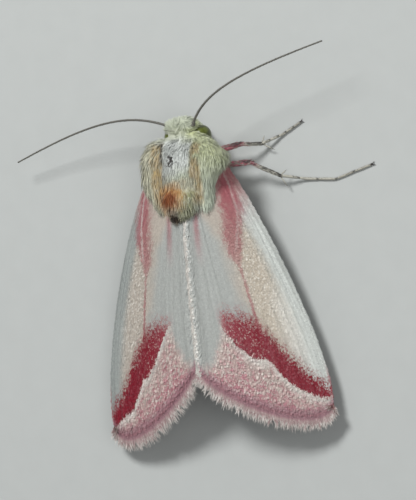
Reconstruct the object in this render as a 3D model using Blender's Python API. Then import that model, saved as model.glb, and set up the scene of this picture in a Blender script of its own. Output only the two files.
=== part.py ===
"""A clouded crimson moth at rest, life size, its forewings folded into a roof over the body.

Axes: +Y runs toward the head, +X toward the moth's right and +Z up, and the feet stand on Z = 0.
Places are given from the floor under the middle of the thorax, and one empty carries every piece, so
that the middle of the moth's bounding box stands over the origin.
"""

from math import cos, pi, sin

import bmesh
import bpy
import numpy as np
from mathutils import Vector

MM = 0.001
OBJECT_NAME = "clouded_crimson_moth"
SEED = 7

THORAX_PLACE = (0.43 * MM, 4.32 * MM, 0.0)
GAP = 0.3 * MM

LOCK_SUNK = 0.12 * MM
LOCK_SIZE = (0.55 * MM, 0.24 * MM)
LOCK_WIDEST_AT = 0.3
HEAD_LOCK_SIZE = (0.4 * MM, 0.22 * MM)
TUFT_LOCK_SIZE = (0.42 * MM, 0.3 * MM)
FLAP_LOCK_SIZE = (0.45 * MM, 0.3 * MM)
# Each row of locks: where their roots lie from the front pole, in degrees, and how many, or where, across.
THORAX_LOCK_ROWS = (38, 56, 74)
THORAX_LOCKS_ACROSS = (58, 122, 5)
THORAX_LOCK_REACH = 30
TEGULA_LOCK_ROWS = ((48, 3), (74, 4))
TEGULA_LOCKS_ACROSS = (12, 96)
TEGULA_LOCK_REACH = 42
HEAD_LOCK_ROWS = (((75, 38), (62, 90, 118)), ((52, 12), (50, 77, 103, 130)))
# Each fan of the tuft, in millimetres: its locks, half its spread, how far back it reaches and its height.
TUFT_FANS = ((7, 0.56, -2.86, 4.2), (4, 0.36, -2.45, 4.38))
TUFT_ROOT = (-0.75, 3.85)
TUFT_ROOM = ((0.0, -0.3, 3.85), (0.0, -1.8, 4.4), (0.1, -3.4, 4.3))
TUFT_ROOM_SIZE = (2.3 * MM, 1.5 * MM)
# The long locks at a tegula's rear, in millimetres: how far out each tip is, and how high its root.
FLAP_LOCKS = ((1.15, 4.0), (1.325, 3.98), (1.5, 3.88), (1.675, 3.74), (1.85, 3.52))
FLAP_LONGEST_AT = 1.35
FLAP_REACH = -2.62

THORAX_CENTRE = (0.08 * MM, -0.42 * MM, 2.5 * MM)
THORAX_RADII = (1.4 * MM, 1.83 * MM, 1.85 * MM)
HEAD_CENTRE = (-0.06 * MM, 1.98 * MM, 2.2 * MM)
HEAD_RADII = (0.72 * MM, 0.62 * MM, 0.8 * MM)
EYE_CENTRE = (0.74 * MM, 1.66 * MM, 1.68 * MM)
EYE_RADIUS = 0.55 * MM
TEGULA_CENTRE = (1.24 * MM, -0.42 * MM, 3.18 * MM)
TEGULA_RADII = (0.98 * MM, 1.5 * MM, 0.95 * MM)

ABDOMEN_FRONT = (0.05 * MM, -1.6 * MM, 2.05 * MM)
ABDOMEN_TAIL = (0.2 * MM, -8.4 * MM, 1.45 * MM)
ABDOMEN_HALF_WIDTH = 1.2 * MM
ABDOMEN_HALF_HEIGHT = 1.1 * MM
ABDOMEN_SEGMENTS = 7
ABDOMEN_RING_SHARE = 0.035
ABDOMEN_BLUNTNESS = 0.55
ABDOMEN_TAPER = 0.45

FEELER_RADIUS = 0.25 * MM
FEELER_TIP_SHARE = 0.35
FEELER_TAPER = 2.2
PALP_RADIUS = 0.25 * MM
PALP_GIRTHS = (1.0, 1.1, 1.0, 0.5)
PALP_PATH = ((0.36, 1.65, 0.85), (0.38, 2.0, 0.78), (0.36, 2.35, 0.85), (0.32, 2.62, 1.05))

WING_THICKNESS = 0.5 * MM
STEEPEST = 0.66
ARCH_HEIGHT = 0.42 * MM
CREST_HEIGHT = 3.85 * MM
ROOT_REACH = 0.25
VEIN_HEIGHT = 0.13 * MM
VEIN_HALF_SHARE = 0.018
VEIN_FADE = 0.06
CELL_END = 0.55
FRINGE_SHORT = 0.12 * MM
FRINGE_LONG = 0.42 * MM
FRINGE_THICKNESS_SHARE = 0.55
FOREWING_ROWS = 14
CLEARANCE_REACH = 1.15
CLEARANCE_DEPTH = 6 * WING_THICKNESS
SMALL_STEP = 0.01

HINDWING_START = 0.10
HINDWING_LENGTH = 0.72
HINDWING_ROUNDING = 0.10
HINDWING_OUTER_EDGE = (0.34, 0.42)
HINDWING_INNER_EDGE = (0.54, 0.76)
HINDWING_ROWS = 11

# Where each main vein crosses the wing from costa, 0, to dorsum, 1, and where it starts and ends
# from root, 0, to margin, 1.
FOREWING_VEINS = {
    "subcosta": (0.05, 0.05, 0.60),
    "radius_2": (0.13, 0.42, 0.92),
    "radius": (0.21, 0.05, 1.2),
    "radius_5": (0.30, 0.50, 1.2),
    "media_1": (0.40, CELL_END, 1.2),
    "media_2": (0.50, CELL_END, 1.2),
    "media_3": (0.60, CELL_END, 1.2),
    "cubitus_1": (0.69, 0.05, 1.2),
    "cubitus_2": (0.79, 0.35, 1.2),
    "anal": (0.90, 0.05, 1.2),
}
FOREWING_CELL = ("radius", "cubitus_1")
HINDWING_VEINS = {
    "radius": (0.12, 0.05, 1.2),
    "media_1": (0.30, 0.40, 1.2),
    "media_3": (0.47, 0.40, 1.2),
    "cubitus": (0.63, 0.05, 1.2),
    "anal": (0.82, 0.05, 1.2),
}

FOREWINGS = {
    "right": {
        "costa": ((1.5, 0.5, 2.35), (2.7, -0.45, 1.7), (6.95, -10.5, 0.85), (6.45, -12.3, 1.05)),
        "margin": ((6.45, -12.3, 1.05), (6.2, -14.05, 1.05), (1.7, -12.25, 2.93), (0.54, -10.5, 3.35)),
        "root": (1.2, -1.25, 2.75),
        "seam": 0.48,
    },
    "left": {
        "costa": ((-1.5, 0.5, 2.35), (-4.0, -1.4, 1.35), (-6.3, -10.7, 0.9), (-5.55, -13.0, 1.0)),
        "margin": ((-5.55, -13.0, 1.0), (-5.15, -15.35, 0.8), (-0.75, -11.75, 2.6), (0.18, -10.2, 3.35)),
        "root": (-1.2, -1.25, 2.75),
        "seam": 0.18,
    },
}

FEELERS = {
    "right": ((0.78, 1.8, 2.75), (1.5, 3.5, 3.2), (3.4, 4.3, 3.3), (7.85, 5.5, 3.0)),
    "left": ((-0.62, 1.95, 2.75), (-3.0, 2.95, 2.5), (-5.5, 2.5, 2.0), (-10.03, 0.82, 1.3)),
}

LEGS = {
    "leg_fore_right": ((0.5, 0.6, 1.5), (0.8, 0.85, 0.8), (2.4, 0.88, 1.2), (3.3, 0.85, 0.5),
                       (4.3, 1.25, 0.2), (5.15, 1.7, 0.2)),
    "leg_mid_right": ((0.5, -0.5, 1.3), (0.95, -0.1, 0.75), (2.9, -0.05, 1.25), (4.25, -0.8, 0.65),
                      (5.5, -1.05, 0.2), (7.0, -1.15, 0.2), (8.83, -0.6, 0.2)),
    "leg_hind_right": ((0.5, -1.5, 1.3), (1.0, -2.1, 0.8), (1.7, -2.9, 0.65), (2.3, -5.4, 0.4),
                       (2.6, -6.4, 0.2), (3.0, -8.9, 0.2)),
    "leg_fore_left": ((-0.5, 0.65, 1.5), (-0.65, 1.0, 0.8), (-1.25, 1.5, 1.2), (-1.95, 0.95, 0.5),
                      (-2.3, 0.75, 0.2), (-3.1, 0.55, 0.2)),
    "leg_mid_left": ((-0.5, -0.5, 1.3), (-0.95, -0.3, 0.75), (-2.1, -0.9, 1.0), (-2.6, -2.0, 0.5),
                     (-2.8, -2.5, 0.2), (-3.5, -4.0, 0.2)),
    "leg_hind_left": ((-0.5, -1.5, 1.3), (-1.0, -2.1, 0.8), (-1.7, -2.9, 0.65), (-2.3, -5.4, 0.4),
                      (-2.5, -6.4, 0.2), (-2.9, -8.9, 0.2)),
}
COXA_RADIUS = 0.33 * MM
FEMUR_RADIUS = 0.3 * MM
TIBIA_RADIUS = 0.26 * MM
TARSUS_RADIUS = 0.25 * MM
LIMB_OVERLAP = 0.45
LIMB_BLUNTNESS = 0.3
LIMB_NARROWING = 0.15
SPUR_LENGTH = 0.75 * MM
SPUR_SPREAD = 0.55 * MM
SPUR_RADIUS = 0.15 * MM
LOWEST_SPUR = 0.25 * MM
CLAW_LENGTH = 0.33 * MM
CLAW_SPREAD = 0.2 * MM
CLAW_SUNK = 0.1 * MM
CLAW_RADIUS = 0.14 * MM
SPIKE_TIP_SHARE = 0.3
FLOOR_BLOCK = 60 * MM
SHARP_ANGLE = 0.7

COLOURS = {
    "thorax": ((0.46, 0.44, 0.30), 0.85),
    "head": ((0.48, 0.49, 0.33), 0.85),
    "eye": ((0.10, 0.11, 0.04), 0.2),
    "tegula": ((0.44, 0.43, 0.28), 0.85),
    "feeler": ((0.36, 0.31, 0.26), 0.7),
    "palp": ((0.42, 0.36, 0.30), 0.8),
    "abdomen": ((0.62, 0.56, 0.46), 0.85),
    "forewing": ((0.74, 0.66, 0.63), 0.6),
    "hindwing": ((0.72, 0.68, 0.64), 0.6),
    "leg": ((0.50, 0.42, 0.36), 0.7),
}


def make_material(name):
    (red, green, blue), roughness = COLOURS[name]
    material = bpy.data.materials.new(name)
    material.use_nodes = True
    shader = material.node_tree.nodes["Principled BSDF"]
    shader.inputs["Base Color"].default_value = (red, green, blue, 1.0)
    shader.inputs["Roughness"].default_value = roughness
    shader.inputs["Metallic"].default_value = 0.0
    return material


def in_mm(points):
    """A design point or a row of them, given in millimetres, as metres."""
    return np.array(points, float) * MM


def bezier(controls, t):
    """Points of a cubic Bezier curve at the values t."""
    first, second, third, last = controls
    t = np.asarray(t, float)[..., None]
    rest = 1.0 - t
    return first * rest**3 + 3 * second * t * rest**2 + 3 * third * t**2 * rest + last * t**3


def new_object(name, mesh, collection):
    made = bpy.data.objects.new(name, mesh)
    collection.objects.link(made)
    return made


def from_bmesh(name, shape, collection):
    """An object that holds the closed shape, with its faces turned outward."""
    if shape.calc_volume(signed=True) < 0:
        bmesh.ops.reverse_faces(shape, faces=shape.faces[:])
    mesh = bpy.data.meshes.new(name)
    shape.to_mesh(mesh)
    shape.free()
    return new_object(name, mesh, collection)


def ellipsoid(name, centre, radii, collection, segments=24, rings=16, grown=0.0):
    """A sphere stretched to the radii, each of them longer by what it is grown."""
    shape = bmesh.new()
    bmesh.ops.create_uvsphere(shape, u_segments=segments, v_segments=rings, radius=1.0)
    bmesh.ops.scale(shape, vec=Vector([radius + grown for radius in radii]), verts=shape.verts)
    made = from_bmesh(name, shape, collection)
    made.location = centre
    return made


def spindle(path, width, thickness, up, collection, segments=5, rings=6, blunt=1.0, narrowing=0.55):
    """A closed leaf along a quadratic path: a sphere whose axis is laid on the path, flat across up."""
    shape = bmesh.new()
    bmesh.ops.create_uvsphere(shape, u_segments=segments, v_segments=rings, radius=1.0)
    places = np.array([vertex.co for vertex in shape.verts])
    t = (places[:, 2:] + 1.0) / 2.0
    first, middle, last = (np.array(point) for point in path)
    centres = first * (1 - t) ** 2 + 2 * middle * t * (1 - t) + last * t**2
    along = 2 * (middle - first) * (1 - t) + 2 * (last - middle) * t
    along /= np.linalg.norm(along, axis=1)[:, None]
    side = np.cross(along, np.array(up))
    side /= np.linalg.norm(side, axis=1)[:, None]
    over = np.cross(side, along)
    girth = np.maximum(np.linalg.norm(places[:, :2], axis=1)[:, None], 1e-6)
    taper = girth ** (blunt - 1.0) * (1.0 + narrowing * (LOCK_WIDEST_AT - t))
    bent = centres + taper * (places[:, :1] * side * width / 2 + places[:, 1:2] * over * thickness / 2)
    for vertex, place in zip(shape.verts, bent):
        vertex.co = place
    return from_bmesh("lock", shape, collection)


def evaluated_mesh(made):
    graph = bpy.context.evaluated_depsgraph_get()
    return bpy.data.meshes.new_from_object(made.evaluated_get(graph))


def room_inside(faces):
    """Three times the volume inside a closed surface, and negative where it is inside out."""
    return sum(face.calc_area() * face.normal.dot(face.calc_center_median()) for face in faces)


def keep_largest(mesh):
    """Leaves only the closed surface that holds the most room."""
    shape = bmesh.new()
    shape.from_mesh(mesh)
    shape.normal_update()
    left = set(shape.faces)
    bodies = []
    while left:
        front = [left.pop()]
        body = list(front)
        while front:
            for edge in front.pop().edges:
                for face in edge.link_faces if len(edge.link_faces) == 2 else ():
                    if face in left:
                        left.remove(face)
                        front.append(face)
                        body.append(face)
        bodies.append(body)
    largest = max(bodies, key=room_inside)
    kept = set(largest)
    bmesh.ops.delete(shape, geom=[face for face in shape.faces if face not in kept], context="FACES")
    shape.to_mesh(mesh)
    shape.free()


def combine(made, operation, others, solver="MANIFOLD"):
    """Joins the others to the object, or cuts them from it, and keeps one body. The others are removed."""
    group = bpy.data.collections.new("operands")
    bpy.context.scene.collection.children.link(group)
    for other in others:
        for owner in list(other.users_collection):
            owner.objects.unlink(other)
        group.objects.link(other)
    modifier = made.modifiers.new("combine", "BOOLEAN")
    modifier.operation = operation
    modifier.operand_type = "COLLECTION"
    modifier.collection = group
    modifier.solver = solver
    mesh = evaluated_mesh(made)
    made.modifiers.remove(modifier)
    made.data = mesh
    keep_largest(mesh)
    for other in list(group.objects):
        bpy.data.objects.remove(other)
    bpy.data.collections.remove(group)


def tube(name, points, radii, collection):
    """A round tube along the points as a closed mesh, with a radius at each point."""
    curve = bpy.data.curves.new(name, "CURVE")
    curve.dimensions = "3D"
    curve.bevel_depth = 1.0 * MM
    curve.bevel_resolution = 2
    curve.use_fill_caps = True
    spline = curve.splines.new("POLY")
    spline.points.add(len(points) - 1)
    for spot, place, radius in zip(spline.points, points, radii):
        spot.co = (*place, 1.0)
        spot.radius = radius / MM
    guide = new_object(name + "_guide", curve, collection)
    mesh = evaluated_mesh(guide)
    bpy.data.objects.remove(guide)
    shape = bmesh.new()
    shape.from_mesh(mesh)
    bpy.data.meshes.remove(mesh)
    bmesh.ops.remove_doubles(shape, verts=shape.verts[:], dist=1e-7)
    bmesh.ops.recalc_face_normals(shape, faces=shape.faces[:])
    return from_bmesh(name, shape, collection)


def cone(base, tip, radius, collection):
    """A pointed cone from its base to its tip."""
    axis = Vector(tip) - Vector(base)
    shape = bmesh.new()
    bmesh.ops.create_cone(
        shape, cap_ends=True, segments=6, radius1=radius, radius2=radius * SPIKE_TIP_SHARE, depth=axis.length
    )
    made = from_bmesh("cone", shape, collection)
    made.rotation_euler = axis.to_track_quat("Z", "Y").to_euler()
    made.location = (Vector(base) + Vector(tip)) / 2
    return made


def dorsum(wing, u):
    """The wing's inner edge: from its root beside the thorax up to the seam, then down to the tornus."""
    root = in_mm(wing["root"])
    tornus = in_mm(wing["margin"][3])
    seam = wing["seam"] * MM + (tornus[0] - wing["seam"] * MM) * u
    near = np.clip(1.0 - u / ROOT_REACH, 0.0, 1.0) ** 2
    x = seam + (root[0] - seam) * near
    y = root[1] + (tornus[1] - root[1]) * u
    z = tornus[2] + (CREST_HEIGHT - tornus[2]) * (1.0 - u**1.6) - (CREST_HEIGHT - root[2]) * near
    return np.stack([x, y, z], axis=-1)


def wing_surface(wing, u, v):
    """The forewing's upper side: a Coons patch on its four edges, arched up in the middle.

    u runs from the root, 0, to the outer margin, 1, and v from the costa, 0, to the dorsum, 1.
    """
    costa = in_mm(wing["costa"])
    margin = in_mm(wing["margin"])
    lengthwise = (1 - v)[:, None] * bezier(costa, u) + v[:, None] * dorsum(wing, u)
    root = (1 - v)[:, None] * costa[0] + v[:, None] * in_mm(wing["root"])
    across = (1 - u)[:, None] * root + u[:, None] * bezier(margin, v)
    apex_side = (1 - u)[:, None] * costa[0] + u[:, None] * costa[3]
    tornus_side = (1 - u)[:, None] * in_mm(wing["root"]) + u[:, None] * margin[3]
    corners = (1 - v)[:, None] * apex_side + v[:, None] * tornus_side
    places = lengthwise + across - corners
    places[:, 2] += ARCH_HEIGHT * 16 * u * (1 - u) * v * (1 - v)
    return places


def upright_thickness(wing, u, v):
    """How deep the wing is straight down, so that it is as thick as it should be across its slope."""
    u = np.clip(u, SMALL_STEP, 1 - 2 * SMALL_STEP)
    v = np.clip(v, 2 * SMALL_STEP, 1 - SMALL_STEP)
    here = wing_surface(wing, u, v)
    further, across = wing_surface(wing, u + SMALL_STEP, v), wing_surface(wing, u, v + SMALL_STEP)
    normal = np.cross(further - here, across - here)
    steepness = np.abs(normal[:, 2]) / np.linalg.norm(normal, axis=1)
    return WING_THICKNESS / np.maximum(steepness, STEEPEST)


def slab(columns, rows):
    """A flat slab of one cell's height on a grid, split into the same triangles above and below."""
    shape = bmesh.new()
    bmesh.ops.create_grid(shape, x_segments=columns - 1, y_segments=rows - 1, size=0.5)
    bmesh.ops.triangulate(shape, faces=shape.faces[:], quad_method="FIXED")
    raised = bmesh.ops.extrude_face_region(shape, geom=shape.faces[:])
    lifted = [item for item in raised["geom"] if isinstance(item, bmesh.types.BMVert)]
    bmesh.ops.translate(shape, vec=(0.0, 0.0, 1.0), verts=lifted)
    bmesh.ops.recalc_face_normals(shape, faces=shape.faces[:])
    return shape


def slab_places(shape, columns, rows):
    """Each vertex's column, row and layer, 0 for the underside and 1 for the upper side."""
    places = np.array([vertex.co for vertex in shape.verts])
    column = np.rint((places[:, 0] + 0.5) * (columns - 1)).astype(int)
    row = np.rint((places[:, 1] + 0.5) * (rows - 1)).astype(int)
    return column, row, places[:, 2]


def set_places(shape, places):
    for vertex, place in zip(shape.verts, places):
        vertex.co = place


def vein_columns(veins):
    """Places across a wing: three for each vein, its crest and its feet, and the two edges."""
    places = [0.0, 1.0]
    for across, start, end in veins.values():
        places += [across - VEIN_HALF_SHARE, across, across + VEIN_HALF_SHARE]
    return np.array(sorted(places))


def vein_rise(veins, u, v):
    """How far the upper side rises on the veins' crests."""
    rise = np.zeros_like(u)
    for across, start, end in veins.values():
        on_crest = np.abs(v - across) < VEIN_HALF_SHARE / 2
        fade = np.clip((u - start) / VEIN_FADE, 0, 1) * np.clip((end - u) / VEIN_FADE, 0, 1)
        rise = np.maximum(rise, on_crest * fade)
    return rise * VEIN_HEIGHT


def fringe_reach(columns, draw):
    """How far each column of the outer margin reaches out: long and short teeth in turn."""
    reach = np.where(np.arange(columns) % 2 == 0, FRINGE_LONG, FRINGE_SHORT)
    reach = reach * draw.uniform(0.75, 1.15, columns)
    reach[[0, -1]] = FRINGE_SHORT
    return reach


def forewing(side, collection, draw):
    """A roof-shaped forewing with its veins raised on the upper side and a toothed fringe."""
    wing = FOREWINGS[side]
    v_values = vein_columns(FOREWING_VEINS)
    cross = (CELL_END - VEIN_HALF_SHARE, CELL_END, CELL_END + VEIN_HALF_SHARE)
    u_values = np.array(sorted((*np.linspace(0.0, 1.0, FOREWING_ROWS), *cross)))
    columns, rows = len(v_values), len(u_values) + 1
    shape = slab(columns, rows)
    column, row, layer = slab_places(shape, columns, rows)
    in_fringe = row == rows - 1
    u, v = u_values[np.minimum(row, rows - 2)], v_values[column]
    places = wing_surface(wing, u, v)
    depth = upright_thickness(wing, u, v)
    rise = vein_rise(FOREWING_VEINS, u, v)
    cell_front, cell_back = (FOREWING_VEINS[name][0] for name in FOREWING_CELL)
    on_cross_vein = (np.abs(u - CELL_END) < VEIN_HALF_SHARE / 2) & (v > cell_front) & (v < cell_back)
    rise = np.maximum(rise, on_cross_vein * VEIN_HEIGHT)
    inner = wing_surface(wing, u * (1 - SMALL_STEP), v)
    outward = (places - inner) / np.maximum(np.linalg.norm(places - inner, axis=1), 1e-9)[:, None]
    teeth = places + outward * fringe_reach(columns, draw)[column][:, None]
    places = np.where(in_fringe[:, None], teeth, places)
    thinned = depth * (1 - FRINGE_THICKNESS_SHARE) / 2
    top = np.where(in_fringe, -thinned, rise)
    bottom = np.where(in_fringe, thinned - depth, -depth)
    places[:, 2] += np.where(layer > 0.5, top, bottom)
    set_places(shape, places)
    return from_bmesh("forewing_" + side, shape, collection)


def wing_clearance(side, collection):
    """A block that holds the forewing and the gap over it, and reaches past the seam."""
    wing = FOREWINGS[side]
    count = 9
    values = np.linspace(0.0, 1.0, count)
    shape = slab(count, count)
    column, row, layer = slab_places(shape, count, count)
    places = wing_surface(wing, values[row], values[column] * CLEARANCE_REACH)
    places[:, 2] += np.where(layer > 0.5, GAP + VEIN_HEIGHT, -CLEARANCE_DEPTH)
    set_places(shape, places)
    return from_bmesh("clearance", shape, collection)


def hindwing(side, collection):
    """A hindwing folded under the forewing, beside the abdomen, with its veins raised."""
    wing = FOREWINGS[side]
    across_values = vein_columns(HINDWING_VEINS)
    along_values = np.linspace(0.0, 1.0, HINDWING_ROWS)
    columns, rows = len(across_values), len(along_values)
    shape = slab(columns, rows)
    column, row, layer = slab_places(shape, columns, rows)
    across, along = across_values[column], along_values[row]
    u = HINDWING_START + along * (HINDWING_LENGTH - HINDWING_ROUNDING * (2 * across - 1) ** 2)
    root_inner, inner = HINDWING_INNER_EDGE
    root_outer, outer = HINDWING_OUTER_EDGE
    inner_edge = inner - (inner - root_inner) * (1 - along) ** 2
    outer_edge = root_outer + (outer - root_outer) * along
    v = outer_edge + across * (inner_edge - outer_edge)
    places = wing_surface(wing, u, v)
    depth = upright_thickness(wing, u, v)
    steep_gap = GAP / WING_THICKNESS * depth
    places[:, 2] -= depth + steep_gap + VEIN_HEIGHT
    places[:, 2] += np.where(layer > 0.5, vein_rise(HINDWING_VEINS, along, across), -depth)
    set_places(shape, places)
    return from_bmesh("hindwing_" + side, shape, collection)


def abdomen(collection):
    """A tapering, ringed abdomen: a sphere laid along its axis, whose girth follows a profile."""
    shape = bmesh.new()
    bmesh.ops.create_uvsphere(shape, u_segments=14, v_segments=22, radius=1.0)
    places = np.array([vertex.co for vertex in shape.verts])
    t = np.arccos(np.clip(places[:, 2:], -1, 1)) / pi
    girth = np.sin(pi * t) ** ABDOMEN_BLUNTNESS * (1.05 - ABDOMEN_TAPER * t)
    girth = girth * (1 + ABDOMEN_RING_SHARE * np.cos(2 * pi * ABDOMEN_SEGMENTS * t))
    flat = places[:, :2] / np.maximum(np.linalg.norm(places[:, :2], axis=1)[:, None], 1e-9)
    front, tail = np.array(ABDOMEN_FRONT), np.array(ABDOMEN_TAIL)
    laid = front + (tail - front) * t
    laid[:, 0] += (flat[:, :1] * girth)[:, 0] * ABDOMEN_HALF_WIDTH
    laid[:, 2] += (flat[:, 1:] * girth)[:, 0] * ABDOMEN_HALF_HEIGHT
    set_places(shape, laid)
    return from_bmesh("abdomen", shape, collection)


def feeler(side, collection):
    """A thread-like antenna that starts a gap off the head and thins toward its tip."""
    t = np.linspace(0.0, 1.0, 20)
    points = bezier(in_mm(FEELERS[side]), t)
    radii = FEELER_RADIUS * np.clip(FEELER_TAPER * (1.0 - t) + FEELER_TIP_SHARE, 0.0, 1.0)
    return tube("antenna_" + side, points, radii, collection)


def palp(side, sign, collection):
    """A short feeler under the face."""
    points = in_mm(PALP_PATH) * (sign, 1, 1)
    return tube("palp_" + side, points, PALP_RADIUS * np.array(PALP_GIRTHS), collection)


def limb(start, end, girth, collection):
    """One rounded length of a leg, between two joints."""
    middle = (start + end) / 2
    along = end - start
    is_level = abs(along[2]) < 0.8 * np.linalg.norm(along)
    up = (0.0, 0.0, 1.0) if is_level else (0.0, 1.0, 0.0)
    reach = girth * LIMB_OVERLAP * along / np.linalg.norm(along)
    path = (start - reach, middle, end + reach)
    return spindle(path, 2 * girth, 2 * girth, up, collection, 7, 7, LIMB_BLUNTNESS, LIMB_NARROWING)


def leg(name, collection):
    """A jointed leg: coxa, femur, tibia with its spurs, and a tarsus that lies on the floor, with claws."""
    joints = in_mm(LEGS[name])
    girths = [COXA_RADIUS, FEMUR_RADIUS, TIBIA_RADIUS] + [TARSUS_RADIUS] * (len(joints) - 4)
    pieces = [
        limb(start, end, girth, collection)
        for start, end, girth in zip(joints[:-1], joints[1:], girths)
    ]
    ankle, heel = joints[3], joints[4]
    outward = (heel - ankle) / np.linalg.norm(heel - ankle)
    side = np.cross(outward, (0.0, 0.0, 1.0))
    forward = (joints[-1] - joints[-2]) / np.linalg.norm(joints[-1] - joints[-2])
    across = np.cross(forward, (0.0, 0.0, 1.0))
    for sign in (-1, 1):
        tip = ankle + outward * SPUR_LENGTH + side * sign * SPUR_SPREAD
        tip[2] = max(tip[2], LOWEST_SPUR)
        pieces.append(cone(ankle, tip, SPUR_RADIUS, collection))
        claw = joints[-1] + forward * CLAW_LENGTH + across * sign * CLAW_SPREAD
        pieces.append(cone(joints[-1] - forward * CLAW_SUNK, claw, CLAW_RADIUS, collection))
    made = pieces.pop(0)
    made.name = name
    combine(made, "UNION", pieces)
    return made


def floor_block(collection):
    """All that lies under the floor."""
    shape = bmesh.new()
    bmesh.ops.create_cube(shape, size=FLOOR_BLOCK)
    bmesh.ops.translate(shape, vec=(0.0, 0.0, -FLOOR_BLOCK / 2), verts=shape.verts)
    return from_bmesh("floor", shape, collection)


def thorax_clearance(collection):
    return ellipsoid("clearance", THORAX_CENTRE, THORAX_RADII, collection, 32, 20, grown=GAP)


def head_clearance(collection):
    return ellipsoid("clearance", HEAD_CENTRE, HEAD_RADII, collection, 24, 16, grown=GAP)


def coat_point(centre, radii, lat, roll, height):
    """A point over an ellipsoid: lat runs back from its +Y pole, and roll round Y from +X over the top."""
    lat, roll = np.radians(lat), np.radians(roll)
    direction = np.array((sin(lat) * cos(roll), cos(lat), sin(lat) * sin(roll)))
    normal = direction / np.array(radii)
    return np.array(centre) + direction * np.array(radii) + normal / np.linalg.norm(normal) * height


def coat_lock(centre, radii, lats, rolls, size, lifts, collection):
    """A lock on an ellipsoid, from its sunk root back to its tip: size is its width and thickness."""
    middle_lift, tip_lift = lifts
    root = coat_point(centre, radii, lats[0], rolls[0], -LOCK_SUNK)
    middle = coat_point(centre, radii, sum(lats) / 2, sum(rolls) / 2, middle_lift)
    tip = coat_point(centre, radii, lats[1], rolls[1], tip_lift)
    up = middle - np.array(centre)
    return spindle((root, middle, tip), size[0], size[1], up, collection)


def tuft_locks(collection, draw):
    """The tuft over the wings' roots: a fan of long locks, and a shorter fan on it."""
    locks = []
    root_y, root_z = TUFT_ROOT
    for count, half_fan, reach, height in TUFT_FANS:
        for x in np.linspace(-half_fan, half_fan, count):
            outward = (x / half_fan) ** 2
            root = in_mm((x * 0.8, root_y + draw.uniform(-0.1, 0.1), root_z))
            tip_y = reach + 0.5 * outward + draw.uniform(-0.12, 0.12)
            tip = in_mm((x + 0.1, tip_y, height - 0.12 * outward))
            middle = (root + tip) / 2 + in_mm((0.0, 0.0, 0.28))
            locks.append(spindle((root, middle, tip), *TUFT_LOCK_SIZE, (x, 0, 1), collection))
    return locks


def thorax(collection, draw):
    """The thorax, its back covered by rows of locks that lie toward the tail, and the tuft behind them."""
    made = ellipsoid("thorax", THORAX_CENTRE, THORAX_RADII, collection, 24, 14)
    locks = tuft_locks(collection, draw)
    for row, lat in enumerate(THORAX_LOCK_ROWS):
        for roll in np.linspace(*THORAX_LOCKS_ACROSS) + (row % 2) * 6:
            lats = (lat + draw.uniform(-3, 3), lat + THORAX_LOCK_REACH)
            rolls = (roll, roll + draw.uniform(-4, 4))
            lifts = (0.14 * MM, 0.1 * MM)
            locks.append(coat_lock(THORAX_CENTRE, THORAX_RADII, lats, rolls, LOCK_SIZE, lifts, collection))
    combine(made, "UNION", locks)
    return made


def tuft_clearance(collection):
    """The room that the tuft takes, with the gap round it."""
    return spindle(in_mm(TUFT_ROOM), *TUFT_ROOM_SIZE, (0, 0, 1), collection, 12, 10, 0.5, 0.2)


def tegula(side, sign, collection, draw):
    """The flap of long hair over a wing's root: a core under rows of locks that lie toward the tail."""
    centre = np.array(TEGULA_CENTRE) * (sign, 1, 1) + (THORAX_CENTRE[0], 0.0, 0.0)
    made = ellipsoid("tegula_" + side, centre, TEGULA_RADII, collection, 16, 12)
    locks = []
    for row, (lat, count) in enumerate(TEGULA_LOCK_ROWS):
        for roll in np.linspace(*TEGULA_LOCKS_ACROSS, count) + row * 5:
            lats = (lat + draw.uniform(-4, 4), lat + TEGULA_LOCK_REACH)
            rolls = (roll, roll + draw.uniform(-5, 5))
            if sign < 0:
                rolls = (180 - rolls[0], 180 - rolls[1])
            lifts = (0.16 * MM, 0.12 * MM)
            locks.append(coat_lock(centre, TEGULA_RADII, lats, rolls, LOCK_SIZE, lifts, collection))
    for x, height in FLAP_LOCKS:
        root = in_mm((sign * (x * 0.8 + 0.25), -0.9, height - 0.25))
        tip_y = FLAP_REACH + 0.9 * abs(x - FLAP_LONGEST_AT) + draw.uniform(-0.1, 0.1)
        tip = in_mm((sign * x, tip_y, height - 0.08))
        middle = (root + tip) / 2 + in_mm((0.0, 0.0, 0.2))
        locks.append(spindle((root, middle, tip), *FLAP_LOCK_SIZE, (sign * (x - 0.9), 0, 1), collection))
    combine(made, "UNION", locks)
    combine(made, "DIFFERENCE", [thorax_clearance(collection), wing_clearance(side, collection)])
    combine(made, "DIFFERENCE", [tuft_clearance(collection)])
    return made


def head(collection, draw):
    """The head, with a tuft of short locks from its crown down over its face."""
    made = ellipsoid("head", HEAD_CENTRE, HEAD_RADII, collection, 20, 14)
    locks = []
    for lats, rolls in HEAD_LOCK_ROWS:
        for roll in rolls:
            ends = (roll, roll + draw.uniform(-5, 5))
            lifts = (0.14 * MM, 0.12 * MM)
            locks.append(coat_lock(HEAD_CENTRE, HEAD_RADII, lats, ends, HEAD_LOCK_SIZE, lifts, collection))
    combine(made, "UNION", locks)
    combine(made, "DIFFERENCE", [thorax_clearance(collection)])
    return made


def finish(made, kind, carrier):
    made.data.materials.clear()
    made.data.materials.append(bpy.data.materials.get(kind) or make_material(kind))
    made.data.shade_smooth()
    made.data.set_sharp_from_angle(angle=SHARP_ANGLE)
    made.parent = carrier


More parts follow.
